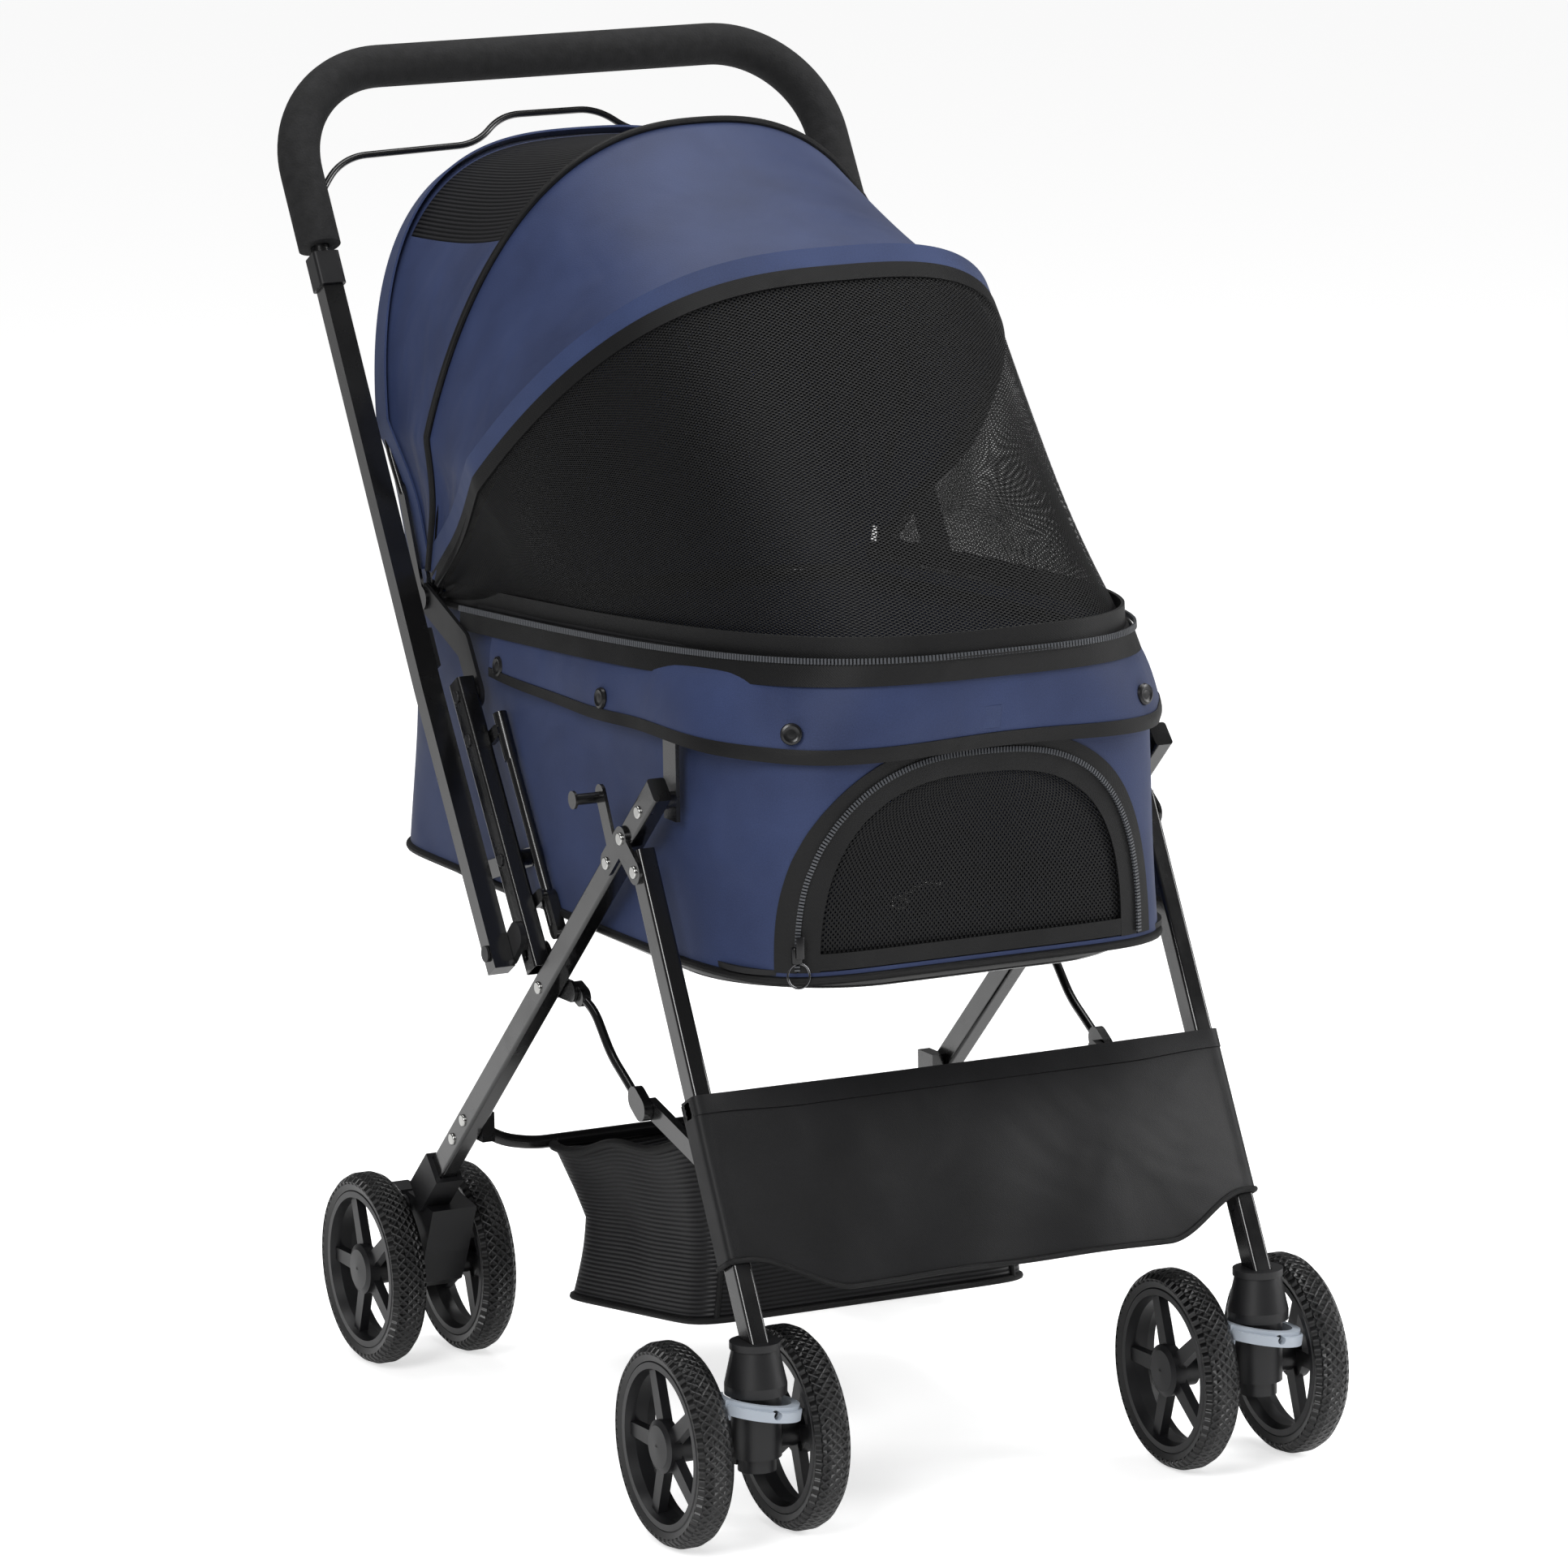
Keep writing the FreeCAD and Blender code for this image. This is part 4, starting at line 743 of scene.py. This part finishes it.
def uWhereY(y, share, left=True):
    low, high = (0.02, 0.5) if left else (0.5, 0.98)
    for halving in range(24):
        middle = (low + high) / 2
        deeper = wallPoint(middle, share).y > y
        if deeper == left:
            low = middle
        else:
            high = middle
    return low


apronLeft, apronRight = uWhereY(av["endY"], 0.8), uWhereY(av["endY"], 0.8, False)


def apronShare(u):
    spot = wallPoint(u, 0.8)
    low = av["lowZ"] + 0.0035 * math.sin(u * 40) * 0.5
    return (low - cv["floorZ"]) / (rimHeight(spot.y) - cv["floorZ"])


def apronPlace(a, v):
    u = apronLeft + (apronRight - apronLeft) * a
    base = apronShare(u)
    share = base + (av["topShare"] - base) * v
    hang = (1 - v) ** 1.3
    puff = 0.0016 * math.sin(a * 46) * hang + 0.0012 * math.sin(a * 23 + 1) * hang
    belly = 0.0022 * math.sin(math.pi * v)
    spot = wallPoint(u, share, av["grow"] + puff + belly + 0.0025 * hang)
    # it passes outside the strap on each side
    near = max(0.0, 1 - abs(spot.y + 0.203) / 0.1)
    near = near * near * (3 - 2 * near) * hang ** 0.5
    if abs(spot.x) > 0.12:
        spot.x += math.copysign(max(0.0, 0.1868 - abs(spot.x)) * near, spot.x)
    return spot


apron = shapedSheet("apronFlap", "navyOxford", apronPlace, 200, 10, (1.18, 0.065), 0.0018)
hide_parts("apron_flap")
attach(apron, "rear_frame")


def apronEdge(v0, v1, grow):
    def place(a, v):
        spot = apronPlace(a, v0 + (v1 - v0) * v)
        out = Vector((spot.x, spot.y - 0.05, 0))
        corner = Vector((math.copysign(1, spot.x) if abs(spot.x) > 0.12 else spot.x / 0.12, 0, 0))
        lean = max(0.0, min(1.0, (-0.12 - spot.y) / 0.16))
        out = (corner * (1 - lean) + Vector((spot.x * 3, -1, 0)) * lean).normalized()
        return spot + out * grow
    return place


apronBinding = shapedSheet("apronBinding", "blackBinding", apronEdge(-0.05, 0.12, 0.0009), 200, 3,
                           (1.18, 0.011), 0.0034)
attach(apronBinding, "rear_frame")


def rimZipPlace(v0, v1, grow):
    def place(a, v):
        u = apronLeft + (apronRight - apronLeft) * (a * 1.1 - 0.05)
        return wallPoint(u, v0 + (v1 - v0) * v, grow)
    return place


rimTape = shapedSheet("rimTape", "blackBinding", rimZipPlace(0.93, 1.004, 0.0108), 200, 3,
                      (1.22, 0.016), 0.0014)
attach(rimTape, "rear_frame")


def sideOut(spot):
    lean = max(0.0, min(1.0, (-0.1 - spot.y) / 0.2))
    side = Vector((math.copysign(1, spot.x), 0, 0.1))
    return (side * (1 - lean) + Vector((spot.x * 3, -1, 0.1)) * lean).normalized()


rimCoilLine = [rimZipPlace(1.0, 1.0, 0.0122)(i / 300, 0) + Vector((0, 0, 0.0022)) for i in range(301)]
rimCoil = zipCoil("rimZip", rimCoilLine, 0.0026, 0.0017, sideOut)
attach(rimCoil, "rear_frame")


def snapCap(name, spot, out):
    # pressed snap: domed cap with a rolled edge and a dimple
    return lathe(name, "gloss",
                 [(-0.001, 0.0), (-0.001, 0.0072), (0.0008, 0.0078), (0.0026, 0.0072), (0.0031, 0.0058),
                  (0.0024, 0.0046), (0.0024, 0.0028), (0.003, 0.0)], spot, out, 28)


snapSpots = [(-1, 0.0645, 0.556), (-1, -0.1015, 0.559), (1, 0.0645, 0.556), (1, -0.1015, 0.559)]
snaps = []
for sign, y, z in snapSpots:
    share = (z - cv["floorZ"]) / (rimHeight(y) - cv["floorZ"])
    u = uWhereY(y, share, sign < 0)
    spot = wallPoint(u, share, 0.0098)
    snaps.append(snapCap("snap", spot, sideOut(spot)))
for x, z in ((-0.134, 0.5635), (0.12, 0.567)):
    spot = frontSpot(x, z, 0.0128)
    snaps.append(snapCap("snap", spot, sideOut(spot)))
snapSet = joined("apronSnaps", snaps)
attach(snapSet, "rear_frame")

patch = shapedSheet("apronPatch", "navyFacing",
                    lambda u, v: frontSpot(-0.038 + 0.04 * u, 0.559 + 0.016 * v, 0.0102),
                    8, 4, (0.04, 0.016), 0.0007)
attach(patch, "rear_frame")
declareSheet(wallCloth, (1.85, 0.24))
declareSheet(apron, (1.25, 0.085))
declareSheet(doorNet, (0.28, 0.16))
declareSheet(floorCloth, (0.38, 0.64))
print("carriage cloth made")

# ---- hood: panels over four bows that turn about one line
hoodValues = dict(pivotY=0.1915, pivotZ=0.588, baseX=0.1885, baseReach=0.022, armEnd=0.06,
                  over=0.0042, steps=150)
bowShapes = dict(  # angle forward from upright, height, roundness, half width
    rear=(-23.0, 0.341, 2.8, 0.203), mid=(13.5, 0.354, 2.4, 0.203),
    front=(50.0, 0.402, 2.9, 0.203), hem=(87.0, 0.543, 3.3, 0.182))
hv = hoodValues


def hoodSpot(angle, reach, x):
    turn = math.radians(angle)
    return Vector((x, hv["pivotY"] - reach * math.sin(turn), hv["pivotZ"] + reach * math.cos(turn)))


def bowLine(name):
    # the cloth's line over this bow, as (x, reach), evenly spaced from left foot to right foot
    height, power, wide = bowShapes[name][1:]
    height, wide = height + hv["over"], wide + (0.003 if name != "hem" else 0.0)
    half = []
    for step in range(401):
        reach = hv["baseReach"] + (height - hv["baseReach"]) * math.sin(step / 400 * math.pi / 2)
        widest = wide * max(0.0, 1 - (reach / height) ** power) ** (1 / power)
        share = max(0.0, min(1.0, (reach - hv["armEnd"]) / (0.5 * height - hv["armEnd"])))
        opening = hv["baseX"] + (wide - hv["baseX"]) * share * share * (3 - 2 * share)
        half.append(Vector((-min(widest, opening), reach, 0)))
    half[-1].x = 0.0
    other = [Vector((-p.x, p.y, 0)) for p in reversed(half[:-1])]
    return evenly(half + other, hv["steps"] + 1)


bowLines = {name: bowLine(name) for name in bowShapes}


def bowSpot(name, v, out=0.0, swing=0.0):
    spot = along(bowLines[name], v)
    angle = bowShapes[name][0]
    size = Vector((spot.x, spot.y)).length
    way = Vector((spot.x, spot.y)) / size if size else Vector((0, 1))
    turn = math.radians(angle)
    here = hoodSpot(angle, spot.y + way.y * out, spot.x + way.x * out)
    return here + Vector((0, -math.cos(turn), -math.sin(turn))) * swing


def hoodPlace(first, second, sag=0.006, creases=0.0012, phase=0.0):
    def place(u, v):
        low, high = bowSpot(first, v), bowSpot(second, v)
        flat = low.lerp(high, u)
        out = (flat - Vector((0, flat.y, hv["pivotZ"]))).normalized()
        out = Vector((out.x, (flat.y - hv["pivotY"]) * 0.6, out.z)).normalized()
        crown = math.sin(math.pi * v) ** 0.5
        depth = -sag * math.sin(math.pi * u) * crown
        ripple = math.sin(v * 37 + phase) * math.sin(u * math.pi) * creases
        fan = math.sin(u * 9 + v * 15 + phase) * creases * (1 - crown) * 1.5
        return flat + out * (depth + ripple + fan)
    return place


def roofWindow(u, v):
    return 1 if 0.30 < v < 0.70 and u > 0.10 and u < 0.97 else 0


rearPanel = shapedSheet("hoodRearPanel", "navyOxford", hoodPlace("rear", "mid", 0.005), 34, 150,
                        (0.225, 0.86), 0.0014, faceFinish=(roofWindow, "ribNet"),
                        outside=Vector((0, 0, 1)))
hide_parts("hood_rear_panel")
frontPanel = shapedSheet("hoodFrontPanel", "navyOxford", hoodPlace("mid", "front", 0.006, phase=1.3),
                         34, 150, (0.25, 0.9), 0.0014, outside=Vector((0, 0, 1)))
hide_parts("hood_front_panel")
windshield = shapedSheet("windshieldNet", "windowNet",
                         hoodPlace("front", "hem", 0.004, 0.0022, 0.4), 60, 150, (0.40, 1.0), 0.0005,
                         outside=Vector((0, -1, 1)))
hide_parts("windshield_mesh")


def curtainPlace(u, v):
    bow = bowSpot("rear", v, -0.002)
    rimU = (0.5 - v) * 2 * 0.13
    rim = wallPoint(rimU % 1, 0.955, 0.0022, 0.0)
    drape = math.sin(math.pi * u) * (0.006 * math.sin(v * 30) * math.sin(math.pi * v))
    return bow.lerp(rim, u) + Vector((0, drape, 0))


curtain = shapedSheet("hoodCurtain", "navyOxford", curtainPlace, 40, 120, (0.32, 0.8), 0.0014,
                      outside=Vector((0, 1, 0)))


def bowBand(name, finish, bow, swingLow, swingHigh, out, thickness):
    piece = shapedSheet(name, finish,
                        lambda u, v: bowSpot(bow, v, out, swingLow + (swingHigh - swingLow) * u),
                        3, 150, (abs(swingHigh - swingLow), 0.95), thickness)
    return piece


midPiping = piping("midPiping", "blackBinding",
                   [bowSpot("mid", i / 150, 0.0016) for i in range(151)], 0.0028)
rearCasing = bowBand("rearCasing", "navyFacing", "rear", -0.004, 0.016, 0.0014, 0.0016)
frontBinding = bowBand("frontBinding", "blackBinding", "front", -0.008, 0.005, 0.0016, 0.0026)
frontFacing = bowBand("frontFacing", "navyFacing", "front", -0.024, -0.007, 0.0008, 0.0014)
hemBand = bowBand("hemBand", "blackBinding", "hem", -0.014, 0.0022, 0.002, 0.0026)
hemPiping = piping("hemPiping", "blackBinding",
                   [bowSpot("hem", i / 150, 0.003, 0.003) for i in range(151)], 0.0024)

blends = (
    (rearPanel, "rear_frame", "mid_bow", "rear", "mid"),
    (frontPanel, "mid_bow", "front_bow", "mid", "front"),
    (windshield, "front_bow", "windshield_hem", "front", "hem"))
for piece, bodyA, bodyB, bowA, bowB in blends:
    bowSpot(bowA, 0.5)
    bowSpot(bowB, 0.5)
    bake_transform(piece)
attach(curtain, "rear_frame")
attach(rearCasing, "rear_frame")
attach(midPiping, "mid_bow")
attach(frontBinding, "front_bow")
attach(frontFacing, "front_bow")
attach(hemBand, "windshield_hem")
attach(hemPiping, "windshield_hem")
declareSheet(rearPanel, (0.26, 0.95))
declareSheet(frontPanel, (0.32, 1.0))
declareSheet(windshield, (0.5, 1.15))
declareSheet(curtain, (0.36, 0.9))
print("hood made")

# ---- footrest cloth across the front legs
legTop = Vector((0, -0.19612, 0.45216))
legFoot = Vector((0, -0.3565, 0.147))
legWay = (legFoot - legTop).normalized()
legFront = Vector((0, legWay.z, -legWay.y))


def legSpot(distance, front, x):
    return legTop + legWay * distance + legFront * front + Vector((x, 0, 0))


footrestValues = dict(top=0.169, side=0.287, middle=0.318, wrap=0.2095, back=-0.0105, front=0.0112,
                      belly=0.024)
ft = footrestValues
footPath = evenly([
    Vector((-ft["wrap"], ft["back"], 0)), Vector((-ft["wrap"], ft["front"] - 0.004, 0)),
    Vector((-ft["wrap"] + 0.001, ft["front"] - 0.001, 0)), Vector((-ft["wrap"] + 0.005, ft["front"], 0)),
    Vector((ft["wrap"] - 0.005, ft["front"], 0)), Vector((ft["wrap"] - 0.001, ft["front"] - 0.001, 0)),
    Vector((ft["wrap"], ft["front"] - 0.004, 0)), Vector((ft["wrap"], ft["back"], 0))], 161)


def footrestPlace(u, v):
    spot = along(footPath, u)
    edge = max(0.0, min(1.0, (0.200 - abs(spot.x)) / 0.075))
    edge = edge * edge * (3 - 2 * edge)
    bottom = ft["side"] + (ft["middle"] - ft["side"]) * edge
    reach = ft["top"] + (bottom - ft["top"]) * v
    slack = max(0.0, 1 - (abs(spot.x) / 0.2) ** 2.5) if abs(spot.x) < 0.2 else 0.0
    belly = ft["belly"] * slack * math.sin(math.pi * min(1.0, max(v, 0.0) ** 0.8) * 0.78)
    topDip = -0.006 * slack * (1 - v)
    fold = 0.0018 * math.sin(spot.x * 55 + v * 4) * slack * v
    return legSpot(reach, spot.y + belly + topDip + fold, spot.x)


footrest = shapedSheet("footrestCloth", "blackOxford", footrestPlace, 160, 30, (0.44, 0.145), 0.0012)
footHem = shapedSheet("footrestHem", "blackOxford",
                      lambda u, v: footrestPlace(u, -0.015 + 0.115 * v) + legFront * 0.0012,
                      160, 3, (0.44, 0.016), 0.0008)
footPiping = piping("footrestPiping", "blackBinding",
                    [footrestPlace(i / 160, 1.0) for i in range(161)], 0.0022)
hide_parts("footrest_cloth")
for item in (footrest, footHem, footPiping):
    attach(item, "front_frame")
declareSheet(footrest, (0.47, 0.16))

# ---- basket: a soft net box
basketRings = (  # half width, front y, rear y, front z, rear z
    (0.137, -0.139, 0.098, 0.103, 0.071), (0.138, -0.142, 0.078, 0.166, 0.136),
    (0.143, -0.147, 0.116, 0.240, 0.182))


def basketRing(values, steps=160):
    half, front, rear, frontZ, rearZ = values
    dense = []
    for step in range(800):
        turn = 2 * math.pi * step / 800
        c, s = math.cos(turn), math.sin(turn)
        x = half * math.copysign(abs(c) ** 0.2, c)
        y = (front + rear) / 2 + (rear - front) / 2 * math.copysign(abs(s) ** 0.2, s)
        z = frontZ + (rearZ - frontZ) * (y - front) / (rear - front)
        dense.append(Vector((x, y, z)))
    return evenly(dense, steps, True)


basketLines = [basketRing(values) for values in basketRings]


def basketPlace(u, v):
    low, middle, high = (along(line, u, True) for line in basketLines)
    spot = low.lerp(middle, v * 2) if v < 0.5 else middle.lerp(high, v * 2 - 1)
    centre = Vector((0, -0.025, spot.z))
    pull = -0.004 * math.sin(math.pi * v) + 0.0015 * math.sin(u * 60 + v * 3) * math.sin(math.pi * v)
    corner = math.sin(u * 2 * math.pi * 4) ** 2
    top = -0.006 * corner * v ** 3
    return spot + (spot - centre).normalized() * pull + Vector((0, 0, top))


basket = shapedSheet("storageBasket", "ribNet", basketPlace, 160, 24, (1.0, 0.135), 0.0012)
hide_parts("storage_basket")


def basketFloorPlace(u, v):
    half, front, rear, frontZ, rearZ = basketRings[0]
    share = 2 * v - 1
    wide = half * max(0.0, 1 - abs(share) ** 10) ** 0.1 * 0.998
    sag = -0.005 * math.sin(math.pi * u) * math.sin(math.pi * v)
    return Vector((wide * (2 * u - 1), front + (rear - front) * v, frontZ + (rearZ - frontZ) * v + sag))


basketFloor = shapedSheet("basketFloor", "blackOxford", basketFloorPlace, 24, 40, (0.27, 0.23), 0.0016)
trims = [piping("trim", "blackBinding", [basketPlace(i / 160, v) for i in range(160)], radius, closed=True)
         for v, radius in ((1.0, 0.0036), (0.0, 0.0026))]
for u in (0.125, 0.375, 0.625, 0.875):
    trims.append(piping("trim", "blackBinding", [basketPlace(u, v / 20) for v in range(21)], 0.0022))
basketTrim = joined("basketTrim", trims)
for item in (basket, basketFloor, basketTrim):
    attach(item, "rear_frame")
    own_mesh(item)
declareSheet(basket, (1.1, 0.15))
declareSheet(basketFloor, (0.28, 0.25))
print("basket and footrest made")

# ---- cabin cushion: a padded mat with a stitched edge, swelled by a short cloth run
cushionValues = dict(half=0.158, front=-0.282, rear=0.28, bottom=0.3955, height=0.017, cap=0.006,
                     voxel=0.006)


def cabinCushion():
    v = cushionValues
    deselect()
    length = v["rear"] - v["front"]
    bpy.ops.mesh.primitive_cube_add(size=1, location=(0, (v["front"] + v["rear"]) / 2,
                                                      v["bottom"] + v["height"] / 2))
    bpy.context.object.scale = (v["half"] * 2, length, v["height"])
    bpy.ops.object.transform_apply(location=True, scale=True)
    piece = named("cabinCushion", "navyLining")
    bpy.ops.object.mode_set(mode="EDIT")
    bpy.ops.mesh.select_all(action="DESELECT")
    edit = bmesh.from_edit_mesh(piece.data)
    for edge in edit.edges:
        run = edge.verts[0].co - edge.verts[1].co
        edge.select = abs(run.z) > abs(run.x) + abs(run.y)
    bmesh.update_edit_mesh(piece.data)
    bpy.ops.mesh.bevel(offset=0.085, segments=8)
    bpy.ops.object.mode_set(mode="OBJECT")
    mesh = piece.modifiers.new("even", "REMESH")
    mesh.mode = "VOXEL"
    mesh.voxel_size = v["voxel"]
    applyAll(piece)
    rest = [vertex.co.copy() for vertex in piece.data.vertices]
    cloth = piece.modifiers.new("swell", "CLOTH")
    cloth.settings.use_pressure = True
    cloth.settings.uniform_pressure_force = 4.0
    cloth.settings.effector_weights.gravity = 0.0
    scene = bpy.context.scene
    for step in range(1, 13):
        scene.frame_set(step)
    applyAll(piece)
    scene.frame_set(1)
    for vertex, start in zip(piece.data.vertices, rest):
        move = vertex.co - start
        if move.length > v["cap"]:
            vertex.co = start + move.normalized() * v["cap"]
        vertex.co.z = max(vertex.co.z, v["bottom"])
        # sewn channels across the mat
        if vertex.co.z > v["bottom"] + v["height"] * 0.5:
            channel = abs(((vertex.co.y - v["front"]) / 0.0965) % 1 - 0.5) * 2
            groove = max(0.0, channel - 0.9) / 0.1
            vertex.co.z -= 0.0045 * groove
    finer = piece.modifiers.new("finer", "SUBSURF")
    finer.levels = 1
    finer.render_levels = 1
    applyAll(piece)
    pick(piece)
    bpy.ops.object.mode_set(mode="EDIT")
    bpy.ops.mesh.select_all(action="SELECT")
    bpy.ops.uv.cube_project(cube_size=1.0)
    bpy.ops.object.mode_set(mode="OBJECT")
    return settle(piece, 60)


cushion = cabinCushion()
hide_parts("cabin_cushion")
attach(cushion, "rear_frame")
print("cushion made")

# ---- finishes on the hard parts
nodeFinishes = (
    ("enamel", ("rear_leg", "front_leg", "rear_post", "handle_frame", "rim_frame", "base_frame",
                "basket_frame", "rear_bow", "mid_bow", "front_bow", "leg_brackets", "link_tubes",
                "curved_struts", "stay_tubes", "link_bosses", "release_lever")),
    ("nickel", ("frame_rivets",)),
    ("plastic", ("rear_wheel_housings", "brake_pedal", "caster", "handle_collars", "post_fittings",
                 "latch_slides", "hood_hinges", "windshield_hem")),
    ("rimPlastic", ("rim_front", "rim_rear")),
    ("lockPlastic", ("swivel_lock",)),
    ("foam", ("foam_grip",)),
    ("board", ("base_board",)),
)
for finish, starts in nodeFinishes:
    for name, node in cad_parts.items():
        if name.startswith(starts):
            node.data.materials.clear()
            node.data.materials.append(finishes[finish])
for name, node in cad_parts.items():
    if name.startswith("tyre_"):
        low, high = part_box(name)
        centre = tuple((Vector(low) + Vector(high)) / 2)
        node.data.materials.clear()
        node.data.materials.append(tyreRubber("evaTyre_" + name[5:], centre))
print("hard parts finished")

# ---- floor, lights and camera
deselect()
bpy.ops.mesh.primitive_plane_add(size=40, location=(0, 0, -0.0006))
studioFloor = bpy.context.object
studioFloor.name = "studioFloor"
floorMaterial, floorTree, floorSurface = newMaterial(
    "paperFloor", **{"Base Color": linear("f6f6f6"), "Roughness": 0.9,
                     "Emission Color": linear("ffffff")})[:3]
floorSeen = addNode(floorTree, "LightPath")
floorGlow = addNode(floorTree, "MapRange", {"Value": floorSeen.outputs["Is Camera Ray"], "To Min": 0.05,
                                            "To Max": 0.62})
floorTree.links.new(floorGlow.outputs[0], floorSurface.inputs["Emission Strength"])
studioFloor.data.materials.append(floorMaterial)

world = bpy.data.worlds.new("studio")
bpy.context.scene.world = world
world.use_nodes = True
worldTree = world.node_tree
seen = addNode(worldTree, "LightPath")
soft = addNode(worldTree, "MapRange",
               {"Value": seen.outputs["Is Glossy Ray"], "To Min": 0.36, "To Max": 0.12})
glow = addNode(worldTree, "Mix", {0: seen.outputs["Is Camera Ray"], 2: soft.outputs[0], 3: 1.0})
sky = worldTree.nodes["Background"]
sky.inputs["Color"].default_value = linear("ffffff")
worldTree.links.new(glow.outputs[0], sky.inputs["Strength"])
bpy.context.scene.view_settings.view_transform = "Standard"


def areaLight(name, spot, aim, size, power):
    data = bpy.data.lights.new(name, "AREA")
    data.shape = "RECTANGLE"
    data.size, data.size_y = size
    data.energy = power
    lamp = bpy.data.objects.new(name, data)
    bpy.context.scene.collection.objects.link(lamp)
    lamp.location = spot
    lamp.rotation_euler = (Vector(aim) - Vector(spot)).to_track_quat("-Z", "Y").to_euler()


areaLight("keyLight", (-2.6, -2.6, 2.6), (0, 0, 0.5), (1.4, 1.8), 90)
areaLight("sideLight", (2.8, -1.4, 1.8), (0, 0, 0.5), (1.0, 2.2), 60)
areaLight("topLight", (0.2, 0.6, 3.2), (0, 0, 0.5), (2.2, 2.2), 60)

cameraData = bpy.data.cameras.new("camera")
camera = bpy.data.objects.new("camera", cameraData)
bpy.context.scene.collection.objects.link(camera)
bpy.context.scene.camera = camera
cameraData.lens = 187.7
cameraData.sensor_width = 36.0
cameraData.clip_end = 60.0
right = Vector((0.89277, -0.45027, -0.01490))
up = Vector((0.10026, 0.16633, 0.98096))
back = Vector((-0.43922, -0.87726, 0.19364))
turn = Matrix((right, up, back)).transposed().to_4x4()
camera.matrix_world = Matrix.Translation((-2.6221, -5.2520, 1.6191)) @ turn
print("camera and lights set")
